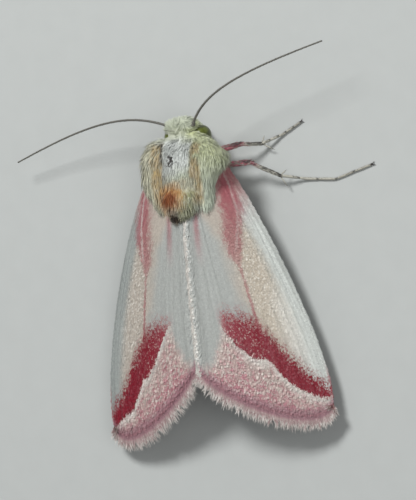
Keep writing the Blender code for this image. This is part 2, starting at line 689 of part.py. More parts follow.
def main():
    for old in list(bpy.data.objects):
        bpy.data.objects.remove(old)
    collection = bpy.data.collections.new(OBJECT_NAME)
    bpy.context.scene.collection.children.link(collection)
    draw = np.random.default_rng(SEED)
    carrier = new_object("moth", None, collection)
    carrier.location = THORAX_PLACE

    finish(thorax(collection, draw), "thorax", carrier)
    finish(head(collection, draw), "head", carrier)
    body = abdomen(collection)
    combine(body, "DIFFERENCE", [thorax_clearance(collection)])
    finish(body, "abdomen", carrier)
    for side, sign in (("left", -1), ("right", 1)):
        eye_centre = np.array(EYE_CENTRE) * (sign, 1, 1) + (HEAD_CENTRE[0], 0.0, 0.0)
        eye = ellipsoid("eye_" + side, eye_centre, (EYE_RADIUS,) * 3, collection, 16, 12)
        combine(eye, "DIFFERENCE", [head_clearance(collection), thorax_clearance(collection)])
        finish(eye, "eye", carrier)
        for made, kind in ((feeler(side, collection), "feeler"), (palp(side, sign, collection), "palp")):
            combine(made, "DIFFERENCE", [head_clearance(collection)])
            finish(made, kind, carrier)
        finish(tegula(side, sign, collection, draw), "tegula", carrier)
        fore = forewing(side, collection, draw)
        combine(fore, "DIFFERENCE", [thorax_clearance(collection)])
        finish(fore, "forewing", carrier)
        hind = hindwing(side, collection)
        combine(hind, "DIFFERENCE", [thorax_clearance(collection)])
        finish(hind, "hindwing", carrier)
    for name in LEGS:
        made = leg(name, collection)
        combine(made, "DIFFERENCE", [thorax_clearance(collection), floor_block(collection)])
        finish(made, "leg", carrier)


main()
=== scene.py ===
"""A clouded crimson moth at rest, life size, with its forewings folded into a roof over the body.

Shapes are worked out in millimetres from the floor under the middle of the thorax: +Y runs toward the
head, +X toward the moth's right and +Z up. make_piece turns them into metres in the model's own frame.
"""

from math import pi

import bpy
import numpy as np
from bpy.props import FloatProperty, FloatVectorProperty, IntProperty, PointerProperty
from mathutils import Matrix, Vector


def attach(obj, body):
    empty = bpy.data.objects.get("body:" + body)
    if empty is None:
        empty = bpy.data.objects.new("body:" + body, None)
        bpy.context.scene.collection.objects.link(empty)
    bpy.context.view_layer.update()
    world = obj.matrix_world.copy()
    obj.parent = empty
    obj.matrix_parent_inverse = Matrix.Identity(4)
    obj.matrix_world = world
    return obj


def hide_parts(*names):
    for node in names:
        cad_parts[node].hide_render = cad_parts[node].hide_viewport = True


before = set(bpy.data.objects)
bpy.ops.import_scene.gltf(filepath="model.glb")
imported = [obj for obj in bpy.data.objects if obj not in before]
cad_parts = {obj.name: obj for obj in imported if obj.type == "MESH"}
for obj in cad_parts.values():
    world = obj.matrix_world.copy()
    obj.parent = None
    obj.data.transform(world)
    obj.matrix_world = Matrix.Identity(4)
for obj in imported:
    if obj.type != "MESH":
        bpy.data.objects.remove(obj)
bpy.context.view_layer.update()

bl_info = {
    "name": "Clouded Crimson Moth",
    "version": (1, 0, 0),
    "blender": (4, 5, 0),
    "location": "View3D > Sidebar > Moth",
    "description": "Builds a life-size clouded crimson moth: skin, scales, hair, wings, legs and feelers",
    "category": "Add Mesh",
}

MM = 0.001
BODY = "root"
COLLECTION = "clouded_crimson_moth"
SEED = 41
SIDES = {"right": 1, "left": -1}
UP = np.array((0.0, 0.0, 1.0))

# The floor under the middle of the thorax, in millimetres in the model's frame.
PLACE = np.array((0.43, 4.32, 0.0))

# The camera, which looks down on the moth, tipped toward its right side and turned a little.
CAMERA_TARGET = np.array((0.469, -4.282, 1.5))
CAMERA_TIP = np.radians(24.0)
CAMERA_TURN = np.radians(3.5)
CAMERA_DISTANCE = 140.0
CAMERA_LONG_SIDE = 25.0
SENSOR_WIDTH = 36.0

# The floor's half size in metres, the colour of the even light and, for each lamp, its name, its place
# from the camera's target and its width in metres, and its share of the key light's power.
FLOOR_HALF = 0.6
SKY = (0.97, 0.985, 1.0, 1.0)
LAMPS = (
    ("key", (-0.04, 0.15, 0.2), 0.07, 1.0),
    ("side", (0.16, -0.02, 0.2), 0.2, 0.3),
)

# Each tuft or scale is a patch of this size on the bake's map.
PATCH = 0.003

CREST_HEIGHT = 3.85
ARCH_HEIGHT = 0.42
ROOT_REACH = 0.25
FOREWINGS = {
    "right": {
        "costa": ((1.5, 0.5, 2.35), (2.7, -0.45, 1.7), (6.95, -10.5, 0.85), (6.45, -12.3, 1.05)),
        "margin": ((6.45, -12.3, 1.05), (6.2, -14.05, 1.05), (1.7, -12.25, 2.93), (0.4, -10.45, 3.35)),
        "root": (1.2, -1.25, 2.75),
        "seam": 0.3,
        "lap": 0.05,
    },
    "left": {
        "costa": ((-1.5, 0.5, 2.35), (-4.0, -1.4, 1.35), (-6.3, -10.7, 0.9), (-5.55, -13.0, 1.0)),
        "margin": ((-5.55, -13.0, 1.0), (-5.15, -15.35, 0.8), (-0.75, -11.75, 2.6), (0.34, -10.2, 3.35)),
        "root": (-1.2, -1.25, 2.75),
        "seam": 0.36,
        "lap": 0.0,
    },
}
# Where each main vein crosses the wing from costa, 0, to dorsum, 1, and where it starts and ends
# from root, 0, to margin, 1.
CELL_END = 0.55
FOREWING_VEINS = (
    (0.05, 0.05, 0.60), (0.13, 0.42, 0.92), (0.21, 0.05, 1.2), (0.30, 0.50, 1.2), (0.40, CELL_END, 1.2),
    (0.50, CELL_END, 1.2), (0.60, CELL_END, 1.2), (0.69, 0.05, 1.2), (0.79, 0.35, 1.2), (0.90, 0.05, 1.2),
)
HINDWING_VEINS = (
    (0.12, 0.05, 1.2), (0.30, 0.40, 1.2), (0.47, 0.40, 1.2), (0.63, 0.05, 1.2), (0.82, 0.05, 1.2),
)
VEIN_HALF_SHARE = 0.014
VEIN_HEIGHT = 0.032
HINDWING_VEIN_HALF = 0.02
HINDWING_VEIN_HEIGHT = 0.05
FOLD_HEIGHT = 0.05
VEIN_FADE = 0.06
HINDWING_START = 0.10
HINDWING_LENGTH = 0.72
HINDWING_ROUNDING = 0.10
HINDWING_OUTER_EDGE = (0.34, 0.42)
HINDWING_INNER_EDGE = (0.54, 0.76)
HINDWING_DROP = 0.98
WING_LENGTH = 13.7
WING_WIDTH = 6.0
# The membrane's thickness, how far it lies under the surface that the scales stand on, and how far
# under that surface the lower side's scales stand. Then the number of scales in each fringe.
MEMBRANE_THICKNESS = 0.04
SCALE_DEPTH = 0.03
UNDERSIDE_DEPTH = 0.09
FOREWING_FRINGE = 2600
HINDWING_FRINGE = 1000

# The body's middle line: Y, X, Z, half width and half height, from the face to the tail.
BODY_PROFILE = (
    (2.42, -0.06, 2.05, 0.02, 0.02), (2.32, -0.06, 2.08, 0.34, 0.36), (2.0, -0.06, 2.1, 0.54, 0.6),
    (1.6, -0.04, 2.1, 0.48, 0.56), (1.3, 0.0, 2.15, 0.66, 0.74), (0.9, 0.04, 2.25, 0.95, 1.1),
    (0.3, 0.07, 2.35, 1.14, 1.42), (-0.4, 0.08, 2.4, 1.2, 1.55), (-1.2, 0.08, 2.35, 1.05, 1.36),
    (-1.9, 0.07, 2.1, 0.82, 0.98), (-2.5, 0.07, 2.0, 0.98, 0.95), (-4.0, 0.11, 1.86, 1.02, 0.92),
    (-6.0, 0.15, 1.67, 0.8, 0.74), (-7.6, 0.18, 1.52, 0.46, 0.44), (-8.25, 0.2, 1.46, 0.2, 0.2),
    (-8.4, 0.2, 1.45, 0.01, 0.01),
)
ABDOMEN_START = -2.2
ABDOMEN_RING = 0.88
ABDOMEN_RING_SHARE = 0.03

BODY_START = -BODY_PROFILE[0][0]
BODY_END = -BODY_PROFILE[-1][0]

HEAD_MIDDLE = -0.1
EYE_CENTRE = np.array((0.76, 1.45, 1.82))
EYE_RADIUS = 0.52
# The tuft on the head: centre, radii, and the angle in degrees by which the pole that its hair runs
# from is raised from the front.
CAP = {"centre": (-0.28, 1.87, 2.16), "radii": (0.8, 0.45, 0.56), "pitch": 125.0}
# The forms that the mantle joins with the body, as rows of Y, X, Z, half width and half height.
MANTLE_FORMS = (
    # collar
    ((1.5, 0.0, 2.3, 0.05, 0.05), (1.4, 0.0, 2.32, 0.5, 0.4), (1.2, 0.0, 2.32, 0.95, 0.76),
     (0.76, 0.0, 2.32, 1.36, 1.05), (0.3, 0.0, 2.32, 0.95, 0.76), (0.0, 0.0, 2.3, 0.05, 0.05)),
    # rear tuft
    ((0.1, 0.0, 2.9, 0.1, 0.1), (-0.6, 0.02, 3.12, 0.6, 0.5), (-1.0, 0.03, 3.28, 0.76, 0.57),
     (-1.5, 0.05, 3.45, 0.84, 0.61), (-2.0, 0.07, 3.51, 0.74, 0.55), (-2.4, 0.0, 3.5, 0.44, 0.35),
     (-2.58, -0.06, 3.42, 0.2, 0.17),
     (-2.68, -0.08, 3.4, 0.02, 0.02)),
    # right flap
    ((1.7, 0.52, 2.32, 0.04, 0.04), (1.58, 0.6, 2.4, 0.2, 0.2), (1.38, 0.8, 2.54, 0.34, 0.32),
     (1.2, 0.94, 2.68, 0.46, 0.44), (0.9, 1.1, 2.84, 0.68, 0.58), (0.6, 1.22, 2.9, 0.9, 0.66),
     (0.29, 1.27, 2.92, 0.99, 0.68), (0.0, 1.26, 2.93, 0.88, 0.67),
     (-0.4, 1.2, 2.93, 0.68, 0.64), (-0.88, 1.17, 2.92, 0.5, 0.58), (-1.4, 1.16, 2.92, 0.42, 0.5),
     (-1.8, 1.14, 2.92, 0.34, 0.4), (-2.05, 1.12, 2.9, 0.05, 0.05)),
    # left flap
    ((1.45, -0.8, 2.55, 0.05, 0.05), (1.2, -1.05, 2.7, 0.46, 0.44), (0.9, -1.2, 2.8, 0.62, 0.56),
     (0.6, -1.3, 2.86, 0.7, 0.64), (0.0, -1.4, 2.88, 0.72, 0.66), (-0.64, -1.4, 2.88, 0.72, 0.66),
     (-1.2, -1.3, 2.88, 0.62, 0.6), (-1.8, -1.17, 2.88, 0.42, 0.46), (-2.1, -1.1, 2.86, 0.26, 0.32),
     (-2.3, -1.05, 2.84, 0.05, 0.05)),
)
# The line inside the thorax, at this X and Z, that the mantle's surface is measured from.
MANTLE_LINE = np.array((0.03, 0.0, 2.35))
MANTLE_START = -1.7
MANTLE_END = 2.68
MANTLE_BLEND = 10.0
MANTLE_BODY_SHARE = 0.97
MANTLE_LEAST = 0.02

FEELERS = {
    "right": ((0.5, 1.95, 2.5), (1.35, 3.45, 3.15), (3.4, 4.3, 3.3), (7.85, 5.5, 3.0)),
    "left": ((-0.75, 1.95, 2.4), (-3.1, 2.95, 2.5), (-5.5, 2.5, 2.0), (-10.03, 0.82, 1.3)),
}
FEELER_RADIUS = 0.066
FEELER_SEGMENTS = 64
# How many bristles a feeler has, and how many hair scales a palp.
BRISTLES = 900
PALP_HAIRS = 700
PALP_PATH = ((0.3, 1.6, 1.25), (0.32, 1.8, 0.8), (0.16, 2.0, 0.8), (0.1, 2.1, 1.15))
PALP_RADIUS = 0.13
# The tongue is a flat coil: its middle, its inner radius, how much that grows, and its turns.
TONGUE_MIDDLE = (-0.04, 2.0, 1.1)
TONGUE_RADIUS = 0.05
TONGUE_GROWTH = 0.13
TONGUE_TURNS = 3.2

LEGS = {
    "leg_fore_right": ((0.5, 0.6, 1.5), (0.8, 0.6, 0.8), (2.4, 0.88, 1.2), (3.3, 0.85, 0.5),
                       (4.3, 1.25, 0.1), (5.3, 1.8, 0.08)),
    "leg_mid_right": ((0.5, -0.5, 1.3), (0.95, -0.1, 0.75), (2.9, -0.05, 1.25), (4.25, -0.8, 0.65),
                      (5.5, -1.05, 0.1), (7.0, -1.15, 0.08), (8.95, -0.55, 0.08)),
    "leg_hind_right": ((0.5, -1.5, 1.3), (1.0, -2.1, 0.8), (1.7, -2.9, 0.65), (2.3, -5.4, 0.4),
                       (2.6, -6.4, 0.1), (3.0, -8.9, 0.08)),
    "leg_fore_left": ((-0.5, 0.65, 1.5), (-0.65, 1.0, 0.8), (-1.25, 1.5, 1.2), (-1.95, 0.95, 0.5),
                      (-2.3, 0.75, 0.1), (-3.1, 0.55, 0.08)),
    "leg_mid_left": ((-0.5, -0.5, 1.3), (-0.95, -0.3, 0.75), (-2.1, -0.9, 1.0), (-2.6, -2.0, 0.5),
                     (-2.8, -2.5, 0.1), (-3.5, -4.0, 0.08)),
    "leg_hind_left": ((-0.5, -1.5, 1.3), (-1.0, -2.1, 0.8), (-1.7, -2.9, 0.65), (-2.3, -5.4, 0.4),
                      (-2.5, -6.4, 0.1), (-2.9, -8.9, 0.08)),
}
TARSUS_JOINTS = 5
COXA_RADIUS = 0.22
# Number, length and width of the hairs on coxa, femur, tibia and each joint of the tarsus.
LEG_HAIRS = ((160, 0.4, 0.04), (420, 0.32, 0.04), (330, 0.22, 0.04), (90, 0.1, 0.025))


def linear(red, green, blue):
    """A colour given as 0 to 255 in sRGB, as linear values from 0 to 1."""
    shares = np.array((red, green, blue)) / 255.0
    return tuple(np.where(shares < 0.04045, shares / 12.92, ((shares + 0.055) / 1.055) ** 2.4))


def colour_property(name, description, red, green, blue):
    """A colour setting, from its red, green and blue as 8-bit sRGB steps."""
    return FloatVectorProperty(
        name=name, description=description, subtype="COLOR", size=3, min=0.0, max=1.0,
        default=linear(red, green, blue),
    )


def length_property(name, description, millimetres):
    """A length setting, from its default in mm."""
    return FloatProperty(
        name=name, description=description, unit="LENGTH", precision=5, min=0.0, default=millimetres * MM
    )


class MothWingLooks(bpy.types.PropertyGroup):
    """Sizes and colours of the wings."""

    scales: IntProperty(name="Scales", description="Scales on each half of a forewing's upper side",
                        default=14000, min=100)
    scale_length: length_property("Scale length", "Length of one wing scale", 0.19)
    fringe_length: length_property("Fringe length", "Longest hair scales of the fringe", 0.5)
    white: colour_property("White", "The wing's bluish white stripe along the dorsum", 166, 169, 165)
    # bright also paints the satin sheen and the glints, which are painted highlights.
    bright: colour_property("Bright white", "The crest, the fringe's tips and the satin sheen", 210, 209, 202)
    cream: colour_property("Cream", "The pale cream ground of the wing", 180, 171, 160)
    # On the right wing this colour also stands in for a painted satin sheen.
    gold_and_sheen: colour_property("Golden cream", "The warm stripe behind the costa", 194, 183, 165)
    crimson: colour_property("Crimson", "The dark part of the crossband", 120, 14, 34)
    rose: colour_property("Rose", "The streak from the root and the band's paler part", 152, 74, 84)
    pink: colour_property("Pink", "The pink bloom of the outer area", 178, 122, 130)
    powder: colour_property("Powder", "The chalky white of the outer area", 184, 171, 162)
    mauve: colour_property("Mauve", "The band along the outer margin", 148, 112, 119)


class MothBodyLooks(bpy.types.PropertyGroup):
    """Sizes and colours of the body's skin and coat."""

    hairs: IntProperty(name="Hairs", description="Hair scales on a whole coat", default=5000, min=100)
    hair_length: length_property("Hair length", "Length of the flaps' hair scales", 0.95)
    hair_width: length_property("Hair width", "Width of the hair scales", 0.04)
    pale: colour_property("Pale", "The pale grey-white of the thorax's disc", 194, 198, 194)
    straw: colour_property("Straw", "The yellow-green tint of the collar and flaps", 177, 183, 138)
    sage: colour_property("Sage", "The bluish green of the flaps' rear", 184, 193, 172)
    cream: colour_property("Cream", "The olive cream of the left flap", 182, 179, 153)
    face: colour_property("Face", "The pale yellow-green of the head's tuft", 176, 182, 159)
    ochre: colour_property("Ochre", "The orange bands beside the disc", 182, 132, 60)
    rust: colour_property("Rust", "The orange-brown of the rear tuft", 114, 50, 8)
    olive: colour_property("Olive", "The green streaks of the rear tuft", 126, 127, 78)
    # dark also paints the shade in the crease by the left flap.
    dark: colour_property("Dark", "The bald spot and the tuft's tip", 34, 26, 22)


class MothHeadLooks(bpy.types.PropertyGroup):
    """Sizes and colours of the eyes and feelers."""

    eye: colour_property("Eye", "The green lens of the compound eye", 84, 92, 30)
    eye_rim: colour_property("Eye rim", "The dark rim round the eye", 18, 20, 8)
    feeler: colour_property("Feeler", "The feelers' upper side", 98, 96, 88)
    feeler_dark: colour_property("Feeler joints", "The feelers' underside and joints", 40, 41, 40)
    horn: colour_property("Tongue", "The coiled tongue", 92, 58, 34)


class MothLegLooks(bpy.types.PropertyGroup):
    """Sizes and colours of the legs."""

    femur_radius: length_property("Femur", "Radius of the femur", 0.135)
    tibia_radius: length_property("Tibia", "Radius of the tibia", 0.086)
    tarsus_radius: length_property("Tarsus", "Radius of the tarsus", 0.06)
    tan: colour_property("Tan", "The pale scales of tibia and tarsus", 166, 164, 152)
    pink: colour_property("Pink", "The pink scales of the femur", 170, 92, 106)
    band: colour_property("Band", "The dark streaks and rings of tibia and tarsus", 36, 34, 31)


class MothStageLooks(bpy.types.PropertyGroup):
    """The floor and the light."""

    floor: colour_property("Floor", "The plain pale floor", 176, 179, 177)
    key_power: FloatProperty(name="Key light", description="Power of the large soft light in watts",
                             default=0.62, min=0.0)
    fill: FloatProperty(name="Fill", description="Strength of the even light from all round",
                        default=0.26, min=0.0)


def on_values(operation, reflected=False):
    """An operator of Wire that adds a Math node, with its two values the other way round if reflected."""
    def method(wire, other):
        values = (other, wire) if reflected else (wire, other)
        return wire.finish.math(operation, *values)

    return method


class Wire:
    """A value or colour in a material: +, -, *, / and ** on values add their Math nodes."""

    def __init__(self, finish, socket):
        self.finish = finish
        self.socket = socket

    __add__, __radd__ = on_values("ADD"), on_values("ADD", True)
    __sub__, __rsub__ = on_values("SUBTRACT"), on_values("SUBTRACT", True)
    __mul__, __rmul__ = on_values("MULTIPLY"), on_values("MULTIPLY", True)
    __truediv__, __pow__ = on_values("DIVIDE"), on_values("POWER")

    def size(self):
        """The value without its sign."""
        return self.finish.math("ABSOLUTE", self)

    def rises(self, low, high):
        """0 below low, 1 above high, and a smooth step between. It falls where high is below low."""
        inputs = {"Value": self, "From Min": low, "From Max": high, "To Min": 0.0, "To Max": 1.0}
        return self.finish.node("ShaderNodeMapRange", {"interpolation_type": "SMOOTHSTEP"}, inputs)

    def curve(self, *stops):
        """The value that the stops, pairs of place and value, give by straight lines."""
        return self.finish.ramp(self, [(place, (value,) * 3) for place, value in stops])


class Finish:
    """A procedural material round one Principled shader."""

    def __init__(self, name, roughness, **constants):
        self.material = bpy.data.materials.new(name)
        self.material.use_nodes = True
        self.tree = self.material.node_tree
        self.shader = self.tree.nodes["Principled BSDF"]
        self.shader.inputs["Roughness"].default_value = roughness
        for socket, value in constants.items():
            self.shader.inputs[socket.replace("_", " ")].default_value = value

    def feed(self, socket, value):
        """Links a Wire to a socket, or sets the socket to a number or colour."""
        if isinstance(value, Wire):
            self.tree.links.new(value.socket, socket)
        elif hasattr(value, "__len__") and len(value) == 3 and len(socket.default_value) == 4:
            socket.default_value = (*value, 1.0)
        else:
            socket.default_value = value

    def node(self, kind, settings=None, inputs=None, output=0):
        """Adds a node, sets what it is first, then feeds its sockets, and gives one of its outputs."""
        made = self.tree.nodes.new(kind)
        for name, value in (settings or {}).items():
            setattr(made, name, value)
        for key, value in (inputs or {}).items():
            self.feed(made.inputs[key], value)
        return Wire(self, made.outputs[output])

    def math(self, operation, *values):
        return self.node("ShaderNodeMath", {"operation": operation}, dict(enumerate(values)))

    def mix(self, factor, first, second):
        """The first colour where the factor is 0 and the second where it is 1."""
        inputs = {0: factor, 6: first, 7: second}
        return self.node("ShaderNodeMix", {"data_type": "RGBA"}, inputs, 2)

    def darken(self, colour, grey):
        """The colour times a grey value."""
        inputs = {0: 1.0, 6: colour, 7: self.join(grey, grey, grey)}
        return self.node("ShaderNodeMix", {"data_type": "RGBA", "blend_type": "MULTIPLY"}, inputs, 2)

    def ramp(self, value, stops):
        """The colour at the value between the stops, pairs of place and colour."""
        made = self.tree.nodes.new("ShaderNodeValToRGB")
        elements = made.color_ramp.elements
        while len(elements) < len(stops):
            elements.new(0.5)
        for element, (place, colour) in zip(elements, stops):
            element.position = place
            element.color = (*colour, 1.0)
        self.feed(made.inputs[0], value)
        return Wire(self, made.outputs[0])

    def split(self, name):
        """The three numbers of a piece's attribute."""
        vector = self.node("ShaderNodeAttribute", {"attribute_name": name}, output="Vector")
        inputs = {0: vector}
        return [self.node("ShaderNodeSeparateXYZ", None, inputs, axis) for axis in "XYZ"]

    def join(self, x, y, z):
        """Three values as one vector."""
        return self.node("ShaderNodeCombineXYZ", None, {0: x, 1: y, 2: z})

    def noise(self, place, scale, detail=2.0):
        """Noise from 0 to 1 with scale lumps to the unit of place."""
        inputs = {"Vector": place, "Scale": scale, "Detail": detail}
        return self.node("ShaderNodeTexNoise", None, inputs)

    def object_place(self):
        """The place in the object's own frame, in metres."""
        return self.node("ShaderNodeTexCoord", output="Object")

    def bump(self, height, strength, distance):
        """Tilts the normal by the slope of height * distance."""
        inputs = {"Strength": strength, "Distance": distance, "Height": height}
        self.feed(self.shader.inputs["Normal"], self.node("ShaderNodeBump", None, inputs))

    def colour(self, value):
        """Sets the base colour."""
        self.feed(self.shader.inputs["Base Color"], value)

    def roughness(self, value):
        """Sets the roughness."""
        self.feed(self.shader.inputs["Roughness"], value)


def unit(vectors):
    """Vectors divided by their lengths."""
    return vectors / np.maximum(np.linalg.norm(vectors, axis=-1, keepdims=True), 1e-12)


def bezier(controls, t):
    """Points of a cubic Bezier curve: the controls weighted by (1-t)^3, 3t(1-t)^2, 3t^2(1-t) and t^3."""
    first, second, third, last = (np.array(control, float) for control in controls)
    t = np.asarray(t, float)[..., None]
    rest = 1.0 - t
    return first * rest**3 + 3 * second * t * rest**2 + 3 * third * t**2 * rest + last * t**3


def through(table, t):
    """Smooth values through the table's rows, whose first number is the place: cubic Hermite pieces,
    with each row's slope taken from its two neighbours."""
    rows = np.array(table, float)
    rows = rows[np.argsort(rows[:, 0])]
    places, values = rows[:, 0], rows[:, 1:]
    slopes = np.gradient(values, places, axis=0)
    t = np.clip(t, places[0], places[-1])
    index = np.clip(np.searchsorted(places, t, side="right") - 1, 0, len(places) - 2)
    span = (places[index + 1] - places[index])[..., None]
    s = ((t - places[index]) / span[..., 0])[..., None]
    start, end = values[index], values[index + 1]
    return (start * (2 * s**3 - 3 * s**2 + 1) + end * (3 * s**2 - 2 * s**3)
            + slopes[index] * span * (s**3 - 2 * s**2 + s) + slopes[index + 1] * span * (s**3 - s**2))


def spread(count, low, high):
    """Pairs spread evenly over a rectangle: the fractions of 0.5 + k * (0.7549, 0.5698)."""
    k = np.arange(1, count + 1)[:, None]
    shares = (0.5 + k * np.array((0.7548776662, 0.5698402910))) % 1.0
    return np.array(low) + shares * (np.array(high) - np.array(low))


def axes_on(surface, pairs, outward):
    """Place, lengthwise direction, crosswise direction and normal of a surface at pairs (a, b)."""
    step = 1e-4
    a, b = pairs[:, 0], pairs[:, 1]
    place = surface(a, b)
    along = (surface(a + step, b) - place) / step
    across = (surface(a, b + step) - place) / step
    normal = unit(np.cross(along, across))
    normal *= np.sign(np.sum(normal * outward(place), axis=1))[:, None]
    return place, along, across, normal


def even_on(surface, count, low, high, draw):
    """Pairs (a, b) spread evenly over a surface's area. Each of the spread pairs is kept with a chance
    of its own stretch, the length of the cross product of the slopes, over the largest stretch."""
    def stretch(pairs):
        along, across = axes_on(surface, pairs, lambda place: np.ones_like(place))[1:3]
        return np.linalg.norm(np.cross(along, across), axis=1)

    sample = stretch(spread(2000, low, high))
    largest = np.quantile(sample, 0.995)
    pairs = spread(int(1.15 * count * largest / sample.mean()) + 50, low, high)
    kept = pairs[draw.random(len(pairs)) * largest < stretch(pairs)]
    return kept[:count]


def shell_faces(rings, sides):
    """Quads between rings of vertices, and fans to a first and a last pole, which follow the rings."""
    ring = np.arange(rings - 1)[:, None] * sides
    k = np.arange(sides)[None, :]
    after = (k + 1) % sides
    quads = np.stack([ring + k, ring + after, ring + sides + after, ring + sides + k], -1).reshape(-1, 4)
    k, after = k[0], after[0]
    first_pole, last_pole = rings * sides, rings * sides + 1
    top = (rings - 1) * sides
    fans = np.concatenate([
        np.stack([np.full(sides, first_pole), after, k], -1),
        np.stack([top + k, top + after, np.full(sides, last_pole)], -1),
    ])
    return [quads, fans]


def sheet_faces(rows, columns):
    """Quads of two like grids, one over the other, and of the rim that joins them."""
    row = np.arange(rows - 1)[:, None] * columns
    column = np.arange(columns - 1)[None, :]
    corner = (row + column).reshape(-1)
    upper = np.stack([corner, corner + 1, corner + columns + 1, corner + columns], -1)
    lower = upper[:, ::-1] + rows * columns
    edge = np.concatenate([
        np.arange(columns), np.arange(1, rows) * columns + columns - 1,
        (rows - 1) * columns + np.arange(columns - 2, -1, -1), np.arange(rows - 2, 0, -1) * columns,
    ])
    after = np.roll(edge, -1)
    rim = np.stack([after, edge, edge + rows * columns, after + rows * columns], -1)
    return [np.concatenate([upper, lower, rim])]


def room_inside(places, faces):
    """Six times the signed volume of a closed mesh: the triple products of its triangles, added up."""
    total = 0.0
    for group in faces:
        for last in range(2, group.shape[1]):
            a, b, c = places[group[:, 0]], places[group[:, last - 1]], places[group[:, last]]
            total += np.sum(a * np.cross(b, c))
    return total


def make_piece(name, places, faces, material, replaced=(), lie=None, grain=None, bake=None, flat=False):
    """A piece from points in millimetres and its faces, turned outward.

    lie is where its pattern is read, grain holds a random shade, the place along a tuft and the place
    across it, and bake is each point's place on the bake's map.
    """
    if room_inside(places, faces) < 0:
        faces = [group[:, ::-1] for group in faces]
    mesh = bpy.data.meshes.new(name)
    world = (places + PLACE) * MM
    corners = np.concatenate([group.reshape(-1) for group in faces]).astype(np.int32)
    counts = np.concatenate([np.full(len(group), group.shape[1]) for group in faces])
    starts = np.concatenate([[0], np.cumsum(counts)[:-1]]).astype(np.int32)
    mesh.vertices.add(len(world))
    mesh.vertices.foreach_set("co", world.astype(np.float32).ravel())
    mesh.loops.add(len(corners))
    mesh.loops.foreach_set("vertex_index", corners)
    mesh.polygons.add(len(counts))
    mesh.polygons.foreach_set("loop_start", starts)
    mesh.update(calc_edges=True)
    for label, values in (("lie", lie), ("grain", grain)):
        if values is not None:
            attribute = mesh.attributes.new(label, "FLOAT_VECTOR", "POINT")
            attribute.data.foreach_set("vector", values.astype(np.float32).ravel())
    if bake is not None:
        layer = mesh.uv_layers.new(name="OFBake")
        layer.uv.foreach_set("vector", bake[corners].astype(np.float32).ravel())
    mesh.polygons.foreach_set("use_smooth", np.full(len(counts), not flat))
    mesh.materials.append(material)
    piece = bpy.data.objects.new(name, mesh)
    bpy.data.collections[COLLECTION].objects.link(piece)
    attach(piece, BODY)
    if replaced:
        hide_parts(*replaced)
    return piece


HAIR = ((0.0, 0.65), (0.55, 1.0))
SCALE = ((0.0, 0.35), (0.78, 1.0))
SPIKE = ((0.0, 1.0), (0.5, 0.62))
RIDGE_UP = np.radians((90.0, 210.0, 330.0))
FLAT_UP = np.radians((30.0, 150.0, 270.0))


class Tufts:
    """Tapered vanes that are gathered and made as one mesh piece.

    A vane's middle at s, from 0 at its root to 1 at its tip, is
    root + length * (s * along + (lift * s - droop * s^2) * normal),
    and round it lie three corners of a flattened triangle, as wide as the outline says at s.
    """

    def __init__(self, outline, corners=RIDGE_UP, thickness=0.5):
        self.outline = np.array(outline)
        self.corners = corners
        self.thickness = thickness
        self.groups = []

    def grow(self, root, along, normal, length, width, lift, droop, lie, shade, unwrap):
        """Adds one vane at each root. Lengths and the like may be numbers or one for each root. lie is
        where the pattern of a whole vane is read, or None to read it at each of its own points."""
        count = len(root)
        length, width, lift, droop = (
            np.broadcast_to(value, (count,)).astype(float) for value in (length, width, lift, droop)
        )
        along = unit(along - normal * np.sum(along * normal, axis=1)[:, None])
        side = np.cross(along, normal)
        s = np.append(self.outline[:, 0], 1.0)
        rise = lift[:, None] * s - droop[:, None] * s**2
        middle = (root[:, None, :] + length[:, None, None]
                  * (s[None, :, None] * along[:, None, :] + rise[..., None] * normal[:, None, :]))
        over_x = np.cos(self.corners) / np.cos(np.radians(30.0)) / 2
        over_z = np.sin(self.corners) * self.thickness / 2
        girth = width[:, None] * self.outline[None, :, 1]
        ring = (side[:, None, None, :] * over_x[None, None, :, None]
                + normal[:, None, None, :] * over_z[None, None, :, None]) * girth[..., None, None]
        body = middle[:, :-1, None, :] + ring
        places = np.concatenate([body.reshape(count, -1, 3), middle[:, -1:, :]], axis=1)
        if lie is None:
            lie = places
        else:
            lie = np.broadcast_to(np.asarray(lie, float)[:, None, :], places.shape)
        self.groups.append((places, lie, np.broadcast_to(shade, (count,)), unwrap))

    def make(self, name, material, flat=False):
        rings = len(self.outline)
        ring = np.arange(rings - 1)[:, None] * 3
        k = np.arange(3)[None, :]
        after = (k + 1) % 3
        sides = np.concatenate([
            np.stack([ring + k, ring + 3 + after, ring + after], -1).reshape(-1, 3),
            np.stack([ring + k, ring + 3 + k, ring + 3 + after], -1).reshape(-1, 3),
        ])
        last = (rings - 1) * 3
        tip = np.stack([last + k[0], np.full(3, last + 3), last + after[0]], -1)
        pattern = np.concatenate([sides, tip, [[0, 1, 2]]])
        places, lies, shades, unwraps = (np.concatenate(parts) for parts in zip(*self.groups))
        count, each = places.shape[:2]
        faces = (np.arange(count)[:, None, None] * each + pattern[None]).reshape(-1, 3)
        across = np.append(np.tile(np.cos(self.corners) / np.cos(np.radians(30.0)), rings), 0.0)
        height = np.append(np.tile(np.sin(self.corners), rings), 0.0)
        s = np.append(np.repeat(self.outline[:, 0], 3), 1.0)
        grain = np.stack([
            np.broadcast_to(shades[:, None], (count, each)), np.broadcast_to(s, (count, each)),
            np.broadcast_to(across, (count, each)),
        ], -1)
        patch = PATCH * np.stack([across / 2, s - 0.5 + 0.15 * height], -1)
        inset = np.clip(unwraps, PATCH, 1 - PATCH)
        bake = inset[:, None, :] + patch[None]
        return make_piece(
            name, places.reshape(-1, 3), [faces], material, (), lies.reshape(-1, 3),
            grain.reshape(-1, 3), bake.reshape(-1, 2), flat,
        )


